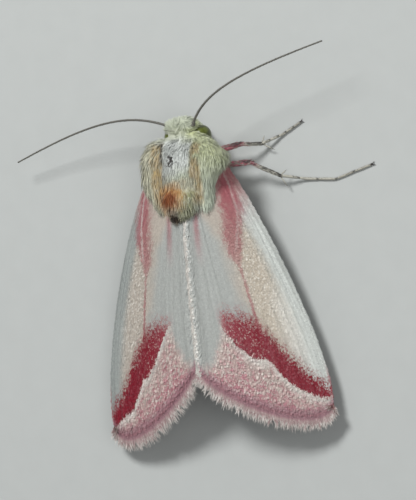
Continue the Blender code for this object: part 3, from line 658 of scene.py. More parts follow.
def dorsum(wing, u):
    """The wing's inner edge. From u = ROOT_REACH on it follows the seam, and before that it leaves the
    seam by (1 - u / ROOT_REACH)^2 toward the root. Its height falls from the crest as u^1.6."""
    root = np.array(wing["root"])
    tornus = np.array(wing["margin"][3])
    seam = wing["seam"] + (tornus[0] - wing["seam"]) * u
    near = np.clip(1.0 - u / ROOT_REACH, 0.0, 1.0) ** 2
    x = seam + (root[0] - seam) * near
    y = root[1] + (tornus[1] - root[1]) * u
    fallen = np.maximum(u, 0.0) ** 1.6
    z = tornus[2] + (CREST_HEIGHT - tornus[2]) * (1.0 - fallen) - (CREST_HEIGHT - root[2]) * near + wing["lap"]
    return np.stack([x, y, z], axis=-1)


def vein_ridge(veins, u, v, half):
    """The height of the veins from 0 to 1: a bell curve across each, faded in and out at its ends."""
    height = np.zeros_like(u)
    for across, start, end in veins:
        fade = np.clip((u - start) / VEIN_FADE, 0, 1) * np.clip((end - u) / VEIN_FADE, 0, 1)
        height = np.maximum(height, fade * np.exp(-(((v - across) / half) ** 2)))
    return height


def forewing_surface(side):
    """A forewing's upper side as a function of u, root to margin, and v, costa to dorsum.

    It is a Coons patch: the blend of costa and dorsum by v, plus the blend of root and margin by u,
    less the blend of the corners. It is arched by 16 u (1-u) v (1-v), and veins and folds are raised on it.
    """
    wing = FOREWINGS[side]
    costa, margin, root = (np.array(wing[key], float) for key in ("costa", "margin", "root"))

    def surface(u, v):
        far, near, out, back = v[..., None], 1 - v[..., None], u[..., None], 1 - u[..., None]
        lengthwise = near * bezier(costa, u) + far * dorsum(wing, u)
        across = back * (near * costa[0] + far * root) + out * bezier(margin, v)
        corners = near * (back * costa[0] + out * costa[3]) + far * (back * root + out * margin[3])
        places = lengthwise + across - corners
        ridge = VEIN_HEIGHT * vein_ridge(FOREWING_VEINS, u, v, VEIN_HALF_SHARE)
        fold = FOLD_HEIGHT * np.exp(-(((v - 0.86 - 0.06 * u) / 0.03) ** 2)) * np.clip(u * 4, 0, 1)
        places[..., 2] += ARCH_HEIGHT * 16 * u * (1 - u) * v * (1 - v) + ridge + fold
        return places

    return surface


def hindwing_surface(side):
    """A hindwing's upper side, which lies under the forewing at a steady drop. Lengthwise a maps to
    u = start + a * (length - rounding * (2b - 1)^2), and b crosses from the outer to the inner edge."""
    fore = forewing_surface(side)

    def surface(a, b):
        u = HINDWING_START + a * (HINDWING_LENGTH - HINDWING_ROUNDING * (2 * b - 1) ** 2)
        root_inner, inner = HINDWING_INNER_EDGE
        root_outer, outer = HINDWING_OUTER_EDGE
        inner_edge = inner - (inner - root_inner) * (1 - a) ** 2
        outer_edge = root_outer + (outer - root_outer) * a
        places = fore(u, outer_edge + b * (inner_edge - outer_edge))
        ridge = HINDWING_VEIN_HEIGHT * vein_ridge(HINDWING_VEINS, a, b, HINDWING_VEIN_HALF)
        places[..., 2] += ridge - HINDWING_DROP
        return places

    return surface


def wing_up(place):
    """The way that a wing's upper side faces: up, at every place."""
    return np.broadcast_to(UP, place.shape)


# What differs between the wings' patterns: the crossband's front and back edges as places along the
# wing at each place across it, the root streak's middle and half width at each place along it, the
# pale line in it, the second streak's middle, how strongly the golden stripe behind the costa and its
# painted satin sheen show, the costa's colour, lighter on the right wing as painted light, and how pink
# its root is.
PATTERNS = {
    "right": {
        "front": ((0, .885), (.05, .865), (.10, .835), (.20, .79), (.25, .758), (.30, .725), (.35, .688),
                  (.40, .645), (.45, .605), (.55, .588), (.65, .592), (.76, .61)),
        "back": ((0, .905), (.05, .90), (.10, .888), (.20, .862), (.30, .83), (.35, .815), (.40, .78),
                 (.45, .735), (.48, .728), (.55, .735), (.60, .722), (.65, .70), (.70, .665), (.76, .625)),
        "streak": ((.10, .16), (.15, .20), (.20, .225), (.25, .27), (.30, .36), (.35, .405), (.38, .42),
                   (.45, .43), (.60, .455)),
        "half": ((.08, .03), (.15, .10), (.20, .155), (.25, .16), (.30, .13), (.35, .095), (.385, .06),
                 (.41, .014), (.60, .012)),
        "line": ((.14, .12), (.25, .20), (.30, .30), (.36, .40)),
        "line_strength": 0.25,
        "second": ((.13, .76), (.34, .80)),
        # Right wing: the golden stripe is strong, brightened as a painted satin sheen.
        "gold_and_sheen": 0.9,
        # The right costa is lighter than the left: painted light.
        "costa": (196, 200, 195),
        "blush": 0.8,
    },
    "left": {
        "front": ((0, .93), (.05, .885), (.10, .845), (.20, .80), (.25, .77), (.30, .73), (.33, .685),
                  (.40, .66), (.45, .61), (.50, .60), (.60, .602), (.70, .625)),
        "back": ((0, .955), (.07, .935), (.10, .92), (.15, .90), (.20, .877), (.25, .862), (.33, .85),
                 (.38, .81), (.42, .78), (.45, .757), (.50, .757), (.55, .74), (.60, .70), (.65, .66),
                 (.71, .63)),
        "streak": ((.18, .12), (.20, .16), (.25, .22), (.30, .28), (.35, .38), (.38, .41), (.45, .43),
                   (.60, .455), (.75, .455)),
        "half": ((.16, .10), (.20, .15), (.25, .16), (.30, .16), (.35, .09), (.38, .05), (.41, .014),
                 (.75, .010)),
        "line": ((.18, .10), (.25, .19), (.30, .27), (.36, .36)),
        "line_strength": 0.42,
        "second": ((.17, .67), (.38, .74)),
        # Left wing: the golden stripe is faint, with little painted sheen.
        "gold_and_sheen": 0.1,
        # The left costa is darker than the right: painted shade.
        "costa": (150, 155, 152),
        "blush": 0.3,
    },
}
# Where the smooth white stripe along the dorsum gives way to the grainy outer area.
SMOOTH_END = ((0, .90), (.40, .76), (.62, .66), (.72, .63), (.80, .76), (.88, .88), (1, .95))


def wing_finish(name, side, looks, roughness, tip_white=0.0):
    """White, cream and crimson wing scales. The pattern is read at lie, the place (u, v) on the wing."""
    finish = Finish(name, roughness, Specular_IOR_Level=0.32, Sheen_Weight=0.06, Sheen_Roughness=0.4)
    pattern = PATTERNS[side]
    u, v, layer = finish.split("lie")
    shade, s, across = finish.split("grain")
    spot = finish.join(u * WING_LENGTH, v * WING_WIDTH, 0.0)
    rough = finish.noise(spot, 3.2, 3.0) - 0.5
    broad = finish.noise(spot, 1.1, 2.0) - 0.5
    fine = finish.noise(spot, 11.0, 2.0) - 0.5
    streaks = finish.noise(finish.join(u * 3.0, v * 60.0, 2.0), 1.0, 2.0)
    speckle = (shade - 0.5) * 0.03
    white, cream, gold_and_sheen = tuple(looks.white), tuple(looks.cream), tuple(looks.gold_and_sheen)
    crimson, rose, mauve = tuple(looks.crimson), tuple(looks.rose), tuple(looks.mauve)
    pink, bright = tuple(looks.pink), tuple(looks.bright)

    near_root = u.rises(0.36, 0.08) * 0.26
    ground = finish.mix((v + broad * 0.15 - near_root).rises(0.42, 0.60), cream, white)
    # The costal strip in each wing's grey-white, lighter on the right wing as painted light.
    strip = (v + rough * 0.05).rises(0.27, 0.14) * u.rises(0.12, 0.3)
    ground = finish.mix(strip, ground, linear(*pattern["costa"]))
    blush = (v + rough * 0.2).rises(0.50, 0.25) * (u + rough * 0.1).rises(0.34, 0.12)
    ground = finish.mix(blush * pattern["blush"], ground, rose)
    golden = (v + fine * 0.1).rises(0.10, 0.24) * (v + rough * 0.1).rises(0.50, 0.38)
    golden = golden * (u + rough * 0.2).rises(0.26, 0.42) * (u + rough * 0.2).rises(0.72, 0.58)
    # The golden stripe: partly its warm colour, partly a painted sheen that is strong on the right wing.
    ground = finish.mix(golden * (0.6 + shade * 0.4) * pattern["gold_and_sheen"], ground, gold_and_sheen)
    # Painted glints: bright scales scattered over the golden stripe.
    ground = finish.mix(golden * (shade + fine * 0.6).rises(0.6, 0.95) * 0.5, ground, bright)
    # Painted satin sheen: a highlight painted as bright colour on the middle of the wing, on the right wing
    # only.
    painted_satin = (v + rough * 0.1).rises(0.08, 0.2) * v.rises(0.36, 0.2) * u.rises(0.46, 0.58) * u.rises(0.84, 0.66)
    ground = finish.mix(painted_satin * pattern["gold_and_sheen"] * 0.8, ground, bright)
    crest = (v + fine * 0.03).rises(0.955, 0.99) * (shade + fine).rises(0.1, 0.8)
    ground = finish.mix(crest, ground, bright)
    costal_grain = v.rises(0.24, 0.10)
    ground = finish.darken(ground, 0.86 + streaks * 0.26 + (streaks - 0.5) * costal_grain * 0.8)

    beyond = u - v.curve(*SMOOTH_END) + broad * 0.08 + rough * 0.05 + speckle
    grainy = beyond.rises(-0.05, 0.06)
    bloom = (u + rough * 0.14).rises(0.78, 0.95) * 0.7 + (v + rough * 0.2).rises(0.45, 0.62) * 0.3
    veined = (streaks - 0.47).rises(0.0, 0.12) * 0.35
    cluster = (rough + fine * 0.5).rises(-0.05, 0.2) * 0.4
    fleck = finish.noise(spot, 5.0, 2.0) + (shade - 0.5) * 0.2
    pinkish = (bloom * beyond.rises(0.0, 0.12) + veined + cluster) * (0.35 + 0.6 * fleck.rises(0.6, 0.4))
    powder = finish.mix(pinkish, tuple(looks.powder), pink)
    # Painted glints: bright flecks on the white powder scales of the outer area.
    powder = finish.mix(fleck.rises(0.54, 0.72) * 0.4, powder, bright)
    ground = finish.mix(grainy, ground, powder)

    half = u.curve(*pattern["half"])
    off = (v - u.curve(*pattern["streak"])).size() / half
    root_streak = (off + rough * 1.1 + speckle * 9.0).rises(1.35, 0.35) * u.rises(0.07, 0.14)
    strength = u.curve((0.0, 0.8), (0.25, 0.92), (0.36, 0.8), (0.40, 0.6), (0.6, 0.8), (0.76, 0.75), (0.8, 0.0))
    veins = 0.75 + 0.5 * (streaks - 0.4)
    ground = finish.mix(root_streak * strength * veins, ground, rose)
    line = ((v - u.curve(*pattern["line"])).size() + fine * 0.02).rises(0.024, 0.008) * u.rises(0.38, 0.33)
    ground = finish.mix(line * pattern["line_strength"], ground, bright)
    second = ((v - u.curve(*pattern["second"])).size() + fine * 0.05).rises(0.075, 0.0)
    second = second * u.rises(0.09, 0.15) * u.rises(0.42, 0.2)
    ground = finish.mix(second * 0.6, ground, rose)

    front = (u - v.curve(*pattern["front"]) + rough * 0.07 + fine * 0.05 + speckle * 2.0).rises(-0.055, 0.022)
    back = (u - v.curve(*pattern["back"]) + rough * 0.022 + speckle * 0.4).rises(0.006, -0.004)
    rim = (u - v.curve(*pattern["back"]) + rough * 0.022).rises(-0.002, 0.006)
    rim = rim * (u - v.curve(*pattern["back"])).rises(0.05, 0.015) * v.rises(0.75, 0.6)
    ground = finish.mix(rim * 0.5, ground, bright)
    ends = (v + rough * 0.05).rises(0.78, 0.68)
    depth = (v + fine * 0.2 + rough * 0.2).rises(0.88, 0.5)
    blood = finish.mix(depth * (0.55 + 0.45 * (shade + fine).rises(0.15, 0.5)), rose, crimson)
    powdered = (shade + fine * 0.5).rises(0.78, 0.95) * v.rises(0.34, 0.56)
    blood = finish.mix(powdered * 0.5, blood, tuple(looks.powder))
    ground = finish.mix(front * back * ends, ground, blood)

    margin = u + rough * 0.006
    hem = (margin - 0.95).size().rises(0.011, 0.001) * v.rises(0.05, 0.2)
    ground = finish.mix((margin + rough * 0.02 + speckle * 0.6).rises(0.895, 0.945) * 0.92, ground, mauve)
    ground = finish.mix(hem * 0.2, ground, rose)
    edge = v.rises(0.022, 0.008) * u.rises(0.76, 0.86)
    ground = finish.mix(edge * 0.7, ground, rose)
    if tip_white:
        ground = finish.mix(s.rises(0.0, 0.6) * 0.45, ground, tuple(looks.powder))
        tips = (s + shade * 0.25 + v * 0.1).rises(0.55, 1.05) * (0.3 + 0.7 * layer.rises(0.2, 0.8))
        ground = finish.mix(tips * tip_white, ground, bright)
    ground = finish.darken(ground, 0.86 + shade * 0.17 + (shade - 0.55) * grainy * 0.16)
    finish.colour(ground)
    finish.roughness(roughness - 0.12 * shade)
    finish.bump(finish.math("SINE", across * 22.0), 0.15, 0.004 * MM)
    return finish.material


def grainy_share(u, v):
    """How roughly the scales lie, from 0 to 1: rough beyond SMOOTH_END, on the crest and in the warm
    stripe behind the costa, and smooth along the dorsum, the costa and the margin."""
    beyond = np.clip((u - np.interp(v, *np.array(SMOOTH_END).T)) / 0.06 + 0.3, 0, 1)
    crest = np.clip((v - 0.90) / 0.05, 0, 1)
    warm = np.clip((v - 0.12) / 0.08, 0, 1) * np.clip((0.52 - v) / 0.1, 0, 1) * np.clip((u - 0.2) / 0.1, 0, 1)
    return np.maximum(np.maximum(beyond, crest), 0.7 * warm) * np.clip((0.965 - u) / 0.02, 0, 1)


def wing_skin(name, surface, rows, columns, material, replaced):
    """A thin closed membrane: the surface on a grid, and the same grid again its thickness lower."""
    u, v = np.meshgrid(np.linspace(0, 1, rows), np.linspace(0, 1, columns), indexing="ij")
    upper = surface(u.ravel(), v.ravel()) - UP * SCALE_DEPTH
    places = np.concatenate([upper, upper - UP * MEMBRANE_THICKNESS])
    lie = np.stack([u.ravel(), v.ravel(), np.zeros(u.size)], -1)
    lie = np.concatenate([lie, lie])
    grain = np.tile((0.5, 0.2, 0.0), (len(places), 1))
    return make_piece(name, places, sheet_faces(rows, columns), material, replaced, lie, grain)


def scale_coat(side, surface, name, count, span, looks, material, draw, below=False):
    """Wing scales laid like roof tiles from root to margin, each a flat vane whose tip stands out."""
    coat = Tufts(SCALE, FLAT_UP, 0.14)
    low, high = np.array((span[0], 0.002)), np.array((span[1], 0.998))
    pairs = even_on(surface, count, low, high, draw)
    place, along, across, normal = axes_on(surface, pairs, wing_up)
    total = len(pairs)
    grain = grainy_share(pairs[:, 0], pairs[:, 1])
    turn = draw.normal(0.0, 1.0, total)[:, None] * (0.035 + 0.11 * grain)[:, None]
    along = unit(along) + turn * unit(across)
    if below:
        place = place - UP * UNDERSIDE_DEPTH
        normal = -normal
    tilt = draw.normal(0.0, 1.0, total)[:, None] * (0.012 + 0.09 * grain)[:, None]
    normal = unit(normal + tilt * unit(across))
    length = looks.scale_length / MM * draw.uniform(0.8, 1.2, total)
    lie = np.column_stack([pairs, np.zeros(total)])
    lift = draw.uniform(0.1, 0.15, total) + draw.uniform(0.0, 0.3, total) * grain
    coat.grow(place - normal * 0.025, along, normal, length, length * draw.uniform(0.36, 0.48, total),
              lift, 0.04, lie, draw.random(total), ((pairs - low) / (high - low))[:, ::-1])
    return coat.make(name, material, flat=True)


def fringe(name, surface, count, looks, material, draw):
    """Hair scales along the outer margin in three tiers. Each points away from the wing, halfway between
    the way from the root and the way straight out of the margin. They gather in small points."""
    coat = Tufts(HAIR, FLAT_UP, 0.3)
    for tier, (start, reach, share, width) in enumerate(
            ((0.984, 0.6, 0.36, 0.08), (0.99, 0.82, 0.34, 0.07), (0.995, 1.0, 0.3, 0.06))):
        total = int(count * share)
        v = (np.arange(total) + draw.uniform(0, 1, total)) / total
        pairs = np.column_stack([np.full(total, start), np.clip(v, 0.002, 0.998)])
        place, along, across, normal = axes_on(surface, pairs, wing_up)
        out = unit(np.cross(unit(across), normal))
        out *= np.sign(np.sum(out * along, axis=1))[:, None]
        clump = v * 58.0 + 1.2 * np.sin(v * 31.0)
        gather = 0.34 * np.sin(2 * pi * clump) * (tier > 0)
        direction = unit(unit(along) + out) - (gather + draw.normal(0, 0.08, total))[:, None] * unit(across)
        point = 1.0 + 0.28 * np.cos(2 * pi * clump) * (tier > 0)
        length = looks.fringe_length / MM * reach * point * draw.uniform(0.7, 1.15, total)
        length *= 0.8 + 0.2 * np.sin(pi * np.clip(v, 0, 1)) + 0.15 * v
        lie = np.column_stack([np.full(total, 0.985), v, np.full(total, tier)])
        coat.grow(place, direction, normal, length, width * draw.uniform(0.8, 1.2, total),
                  draw.uniform(-0.12, 0.12, total), 0.05, lie, draw.random(total),
                  np.column_stack([v, draw.uniform(0.0, 0.3, total) + 0.33 * tier]))
    total = count // 3
    u = 0.12 + 0.86 * (np.arange(total) + draw.uniform(0, 1, total)) / total
    pairs = np.column_stack([u, draw.uniform(0.965, 0.998, total)])
    place, along, across, normal = axes_on(surface, pairs, wing_up)
    direction = unit(along) + unit(across) * draw.uniform(0.15, 0.6, total)[:, None]
    lie = np.column_stack([u * 0.9, np.full(total, 0.99), np.zeros(total)])
    coat.grow(place, direction, normal, draw.uniform(0.25, 0.42, total), 0.055, draw.uniform(0.0, 0.15, total),
              0.1, lie, draw.random(total), np.column_stack([u, draw.random(total)]))
    return coat.make(name, material, flat=True)


def table_row(table, t):
    """Y, X, Z, half width and half height at t = -y, from a table of such rows."""
    return np.moveaxis(through([(-y, y, x, z, w, h) for y, x, z, w, h in table], t), -1, 0)


def body_surface(t, angle):
    """The body's skin: at t, from face to tail, an ellipse round the middle line, whose angle runs from
    the moth's right over its back. Behind ABDOMEN_START its girth ripples once a ring."""
    y, x, z, wide, high = table_row(BODY_PROFILE, t)
    tail = np.clip((ABDOMEN_START - y) / 0.6, 0, 1)
    ring = 1 + ABDOMEN_RING_SHARE * tail * np.cos(2 * pi * (y - ABDOMEN_START) / ABDOMEN_RING)
    return np.stack([x + wide * ring * np.cos(angle), y, z + high * ring * np.sin(angle)], axis=-1)


def lobe(centre, radii, pitch):
    """A ball: at t, from 0 at its first pole to 1 at its last, a ring as large as sin(pi t). Its poles
    are turned by pitch degrees round X, and then it is stretched by the radii."""
    centre, radii = np.array(centre, float), np.array(radii, float)
    cosine, sine = np.cos(np.radians(pitch)), np.sin(np.radians(pitch))

    def surface(t, angle):
        girth = np.sin(pi * t)
        x, y, z = girth * np.cos(angle), np.cos(pi * t), girth * np.sin(angle)
        return centre + np.stack([x, y * cosine - z * sine, y * sine + z * cosine], -1) * radii

    return surface


def ray_reach(x, z, wide, high, angle):
    """How far a ray at an angle from the mantle's line runs to the far side of an ellipse with its middle
    at x, z: the larger root r of a r^2 + 2 b r + c = 0, or 0 where the ray misses."""
    off_x, off_z = MANTLE_LINE[0] - x, MANTLE_LINE[2] - z
    a = (np.cos(angle) / wide) ** 2 + (np.sin(angle) / high) ** 2
    b = np.cos(angle) * off_x / wide**2 + np.sin(angle) * off_z / high**2
    c = (off_x / wide) ** 2 + (off_z / high) ** 2 - 1
    root = np.sqrt(np.maximum(b**2 - a * c, 0.0))
    return np.where(b**2 > a * c, np.maximum((root - b) / a, 0.0), 0.0)


def mantle_surface(t, angle):
    """The thorax, collar, flaps and rear tuft as one form. At y = -t each ray from the mantle's line is
    as long as the soft maximum (sum of r^10)^(1/10) of its reach in the body and in each form's ellipse."""
    x, z, wide, high = table_row(BODY_PROFILE, t)[1:]
    reaches = [MANTLE_BODY_SHARE * ray_reach(x, z, wide, high, angle)]
    for form in MANTLE_FORMS:
        middle_x, middle_z, half_width, half_height = table_row(form, t)[1:]
        reaches.append(ray_reach(middle_x, middle_z, np.maximum(half_width, MANTLE_LEAST),
                                 np.maximum(half_height, MANTLE_LEAST), angle))
    reach = np.sum(np.array(reaches) ** MANTLE_BLEND, axis=0) ** (1 / MANTLE_BLEND)
    return np.stack([MANTLE_LINE[0] + reach * np.cos(angle), -t, MANTLE_LINE[2] + reach * np.sin(angle)], -1)


def closed_skin(surface, start, end, rings, sides):
    """Rings of a closed surface with a pole at each end."""
    t = np.linspace(start, end, rings + 2)[1:-1]
    angle = np.linspace(0, 2 * pi, sides, endpoint=False)
    grid_t, grid_angle = np.meshgrid(t, angle, indexing="ij")
    body = surface(grid_t.ravel(), grid_angle.ravel())
    poles = [surface(np.full(sides, end_t), angle).mean(axis=0) for end_t in (start, end)]
    return np.concatenate([body, poles]), shell_faces(rings, sides)


def coat_finish(name, looks, roughness=0.62, tip_pale=0.3):
    """The body's coat: a pale disc, ochre bands, a rusty rear tuft, straw and sage flaps and collar.
    The pattern is read at lie, the place in millimetres from the floor under the thorax."""
    finish = Finish(name, roughness, Specular_IOR_Level=0.3, Sheen_Weight=0.4, Sheen_Roughness=0.45)
    x, y, z = finish.split("lie")
    shade, s = finish.split("grain")[:2]
    spot = finish.join(x, y, z)
    rough = finish.noise(spot, 1.6, 2.0) - 0.5
    fine = finish.noise(spot, 6.0, 2.0) - 0.5
    strands = finish.noise(finish.join(x * 8.0, y * 2.0, z * 8.0), 1.0, 3.0)
    pale, straw, sage = tuple(looks.pale), tuple(looks.straw), tuple(looks.sage)
    ochre, rust = tuple(looks.ochre), tuple(looks.rust)
    olive, dark = tuple(looks.olive), tuple(looks.dark)

    side = (x + 0.07).size() + rough * 0.2 + fine * 0.1
    ground = finish.mix((y + rough * 0.8).rises(-1.6, 0.8), sage, straw)
    ground = finish.mix((x + rough * 0.4).rises(0.3, -0.7), ground, tuple(looks.cream))
    cool = (z + rough * 0.4).rises(3.0, 2.3) * (y + rough * 0.6).rises(0.6, -0.8)
    ground = finish.mix(cool * 0.6, ground, sage)
    disc = side.rises(1.02, 0.64) * (y + rough * 0.6 - x * 0.25).rises(-1.1, -0.1) * y.rises(1.6, 1.2)
    disc = disc * (y + rough).rises(-1.4, 0.2).curve((0.0, 0.55), (1.0, 1.0))
    left_collar = (x + rough * 0.3).rises(0.5, 0.0) * x.rises(-1.5, -0.8)
    left_collar = left_collar * y.rises(0.8, 1.1) * y.rises(1.95, 1.6)
    ground = finish.mix(disc, ground, pale)
    ground = finish.mix(left_collar * 0.5, ground, pale)
    bands = side.rises(0.74, 0.92) * side.rises(1.46, 1.2) * y.rises(1.25, 0.8) * y.rises(-2.3, -1.6)
    bands = bands * (strands + rough * 0.9 + y.rises(0.8, -1.4) * 0.12).rises(0.3, 0.62) * z.rises(2.7, 3.0)
    far_side = x.rises(-0.4, -0.8) * (y + rough).rises(-0.7, -1.7)
    bands = bands * x.rises(-0.8, -0.4).curve((0.0, 0.9), (1.0, 1.0)) * (1.0 - far_side * 0.75)
    ground = finish.mix(bands * 0.8, ground, ochre)
    ground = finish.mix(bands * 0.45, ground, olive)
    far_front = y.rises(1.05, 1.4) * (x + rough * 0.4).rises(0.3, -0.3)
    ground = finish.mix(far_front * 0.6, ground, tuple(looks.face))
    ground = finish.mix(y.rises(0.9, 1.3) * (x + rough * 0.4).rises(-0.1, 0.4) * 0.6, ground, straw)
    ground = finish.mix(y.rises(1.7, 1.9) * x.rises(0.6, 0.35), ground, tuple(looks.face))

    top = z.rises(2.9, 3.2)
    rear = (y + rough * 0.5 - x * 0.2).rises(-0.65, -1.0) * side.rises(1.1, 0.85) * top
    strand = (strands + (shade - 0.5) * 0.2).rises(0.42, 0.62)
    warm = (x + rough * 0.8 + (strands - 0.5) * 0.8).rises(0.6, -0.2)
    tawny = finish.mix(warm * (0.85 - 0.35 * strand), tuple(looks.cream), ochre)
    ground = finish.mix(rear, ground, tawny)
    green = (y + rough * 0.4).rises(-1.1, -1.6) * (x + rough * 0.4).rises(-0.15, 0.25) * rear
    ground = finish.mix(green * (1.0 - 0.2 * strand), ground, olive)
    ground = finish.mix(green * strands.rises(0.46, 0.32) * 0.6, ground, dark)
    heart = (((x + 0.33) * 1.0) ** 2.0 + ((y + 1.72) * 1.15) ** 2.0) ** 0.5
    halo = (heart + rough * 0.4 + (strands - 0.5) * 0.5).rises(1.15, 0.55) * top
    ground = finish.mix(halo * 0.75, ground, ochre)
    rusty = (heart + fine * 0.4 + (strands - 0.5) * 0.5).rises(0.8, 0.25) * top
    ground = finish.mix(rusty * (0.8 + 0.2 * shade), ground, rust)
    dusk = (y + fine * 0.6).rises(-1.95, -2.35) * (x + 0.15 + fine * 0.3).size().rises(0.45, 0.2) * top
    ground = finish.mix(dusk * 0.6, ground, dark)
    black = (((x + 0.14) * 0.75) ** 2.0 + (y + 2.7) ** 2.0) ** 0.5
    black = (black + fine * 0.45).rises(0.3, 0.14) * top
    ground = finish.mix(black * 0.9, ground, dark)
    # Painted shade: a dark line in the crease between the disc and the left flap.
    painted_crease_shade = ((x + 0.91).size() + fine * 0.1).rises(0.06, 0.02) * y.rises(-0.1, 0.4) * y.rises(1.2, 1.0)
    ground = finish.mix(painted_crease_shade * 0.85, ground, dark)
    spots = ((x + 0.24) ** 2.0 + (y - 0.26) ** 2.0 * 0.6) ** 0.5
    bald = (spots + fine * 1.1 + (strands - 0.5) * 0.4).rises(0.27, 0.12) * top
    plain = (1.0 - rusty) * (1.0 - bald) * (1.0 - black)
    ground = finish.mix((s.rises(0.3, 1.0) * tip_pale + strands.rises(0.5, 0.7) * 0.14) * plain, ground, pale)
    ground = finish.mix(bald * 0.92, ground, dark)
    # The roots are a little darker than the tips as painted shade deep in the coat; strands and shade vary the
    # tone at random.
    ground = finish.darken(ground, 0.56 + strands * 0.6 + shade * 0.12 + s * 0.08)
    finish.colour(ground)
    finish.roughness(roughness - 0.15 * shade)
    return finish.material


def outward_from(centre):
    """A function that gives each place's way out from a centre: place - centre."""
    return lambda place: place - centre


def outward_from_line(place):
    """Each place's way out from the mantle's line, square to it."""
    return (place - MANTLE_LINE) * (1.0, 0.0, 1.0)


def hair_coat(coat, surface, count, low, high, outward, length, width, lift, droop, draw, comb=(0, 0, 0),
              longer=0.0, facing=-2.0):
    """Adds hair scales that lie along a surface, from low to high in t and in angle, where the normal's
    Y is over facing.

    Their way is that of t, plus comb, plus a sway across it of 0.12 sin(4.1 x + 3.3 y + 5.2 z) and a
    random one. They are longer toward the far end by the share longer.
    """
    low, high = np.array(low, float), np.array(high, float)
    pairs = even_on(surface, count, low, high, draw)
    place, along, across, normal = axes_on(surface, pairs, outward)
    kept = normal[:, 1] > facing
    pairs, place, along, across, normal = (part[kept] for part in (pairs, place, along, across, normal))
    total = len(pairs)
    share = (pairs - low) / (high - low)
    long = length * draw.uniform(0.6, 1.25, total) * (1 + longer * share[:, 0])
    sway = 0.12 * np.sin(place @ np.array((4.1, 3.3, 5.2))) + draw.normal(0, 0.14, total)
    direction = unit(along) + sway[:, None] * unit(across) + np.array(comb)
    normal = unit(normal + draw.normal(0, 0.16, total)[:, None] * unit(across))
    coat.grow(place - normal * 0.03, direction, normal, long, width * draw.uniform(0.7, 1.3, total),
              lift * draw.uniform(0.3, 1.9, total), droop, None, draw.random(total), share[:, ::-1])


def tube(path, radii, sides, flatten=1.0):
    """A closed tube along the points: rings of the given radii, square to the path, and a pole at each end.
    Each ring's side is the path's direction crossed with up, and is flattened across that."""
    ahead = unit(np.gradient(path, axis=0))
    side = unit(np.cross(ahead, np.broadcast_to(UP, ahead.shape)) + (1e-9, 0, 0))
    over = np.cross(side, ahead)
    angle = np.linspace(0, 2 * pi, sides, endpoint=False)
    ring = (side[:, None, :] * np.cos(angle)[None, :, None]
            + over[:, None, :] * np.sin(angle)[None, :, None] * flatten)
    body = path[:, None, :] + ring * np.asarray(radii)[:, None, None]
    return np.concatenate([body.reshape(-1, 3), path[:1], path[-1:]]), shell_faces(len(path), sides)


def round_path(path, t, angle):
    """For hair round a path: the number of the point before each t, the way along the path there, and
    the way out of it, cos(angle) of its side plus sin(angle) of what is square to both."""
    index = np.minimum((t * (len(path) - 1)).astype(int), len(path) - 2)
    ahead = unit(path[index + 1] - path[index])
    side = unit(np.cross(ahead, np.broadcast_to(UP, ahead.shape)))
    over = np.cross(side, ahead)
    return index, ahead, side * np.cos(angle)[:, None] + over * np.sin(angle)[:, None]


def joined(parts):
    """Several closed shapes as one: their points in a row, and their faces counted on."""
    places, faces, start = [], [], 0
    for points, groups in parts:
        places.append(points)
        faces += [group + start for group in groups]
        start += len(points)
    return np.concatenate(places), faces


def feeler_finish(looks):
    """Grey-brown scales on the upper side, and darker joints and underside."""
    finish = Finish("feeler", 0.6, Specular_IOR_Level=0.4, Sheen_Weight=0.2)
    ring, up = finish.split("lie")[:2]
    joint = (ring - finish.math("FLOOR", ring) - 0.5).size().rises(0.32, 0.46)
    speckle = finish.noise(finish.object_place(), 9000.0, 2.0)
    colour = finish.mix(up.rises(-0.2, 0.5), tuple(looks.feeler_dark), tuple(looks.feeler))
    colour = finish.mix(joint * 0.7, colour, tuple(looks.feeler_dark))
    finish.colour(finish.darken(colour, 0.65 + speckle * 0.7))
    finish.bump(speckle, 0.4, 0.01 * MM)
    return finish.material


def feeler_shape(side):
    """A thread of rings: a scape and a pedicel, then segments that each widen toward their far end."""
    t = np.linspace(0, 1, FEELER_SEGMENTS * 5 + 1)
    path = bezier(FEELERS[side], t)
    ring = t * FEELER_SEGMENTS
    taper = FEELER_RADIUS * (1.0 - 0.4 * t)
    cup = 0.86 + 0.2 * (ring - np.floor(ring))
    base = 1.0 + 1.1 * np.exp(-((t / 0.016) ** 2)) + 0.6 * np.exp(-(((t - 0.028) / 0.008) ** 2))
    places, faces = tube(path, taper * cup * base, 10)
    height = np.concatenate([np.tile(np.sin(np.linspace(0, 2 * pi, 10, endpoint=False)), len(t)), [0, 0]])
    lie = np.column_stack([np.concatenate([np.repeat(ring, 10), [0, FEELER_SEGMENTS]]), height,
                           np.zeros(len(places))])
    return places, faces, lie, path, taper


def eye_finish(looks):
    """A glossy green lens of tiny facets, with darker mottling and a dark rim where it meets the head."""
    finish = Finish("compound_eye", 0.34, Specular_IOR_Level=0.5, Coat_Weight=0.2, Coat_Roughness=0.2)
    height = finish.split("lie")[1]
    place = finish.object_place()
    facets = finish.node("ShaderNodeTexVoronoi", None, {"Vector": place, "Scale": 24000.0})
    mottle = finish.noise(place, 3500.0, 3.0)
    colour = finish.mix(mottle.rises(0.42, 0.68), tuple(looks.eye), tuple(np.array(looks.eye) * 0.45))
    colour = finish.mix(height.rises(0.62, 0.30), colour, tuple(looks.eye_rim))
    finish.colour(colour)
    finish.bump(facets, 0.25, 0.006 * MM)
    return finish.material


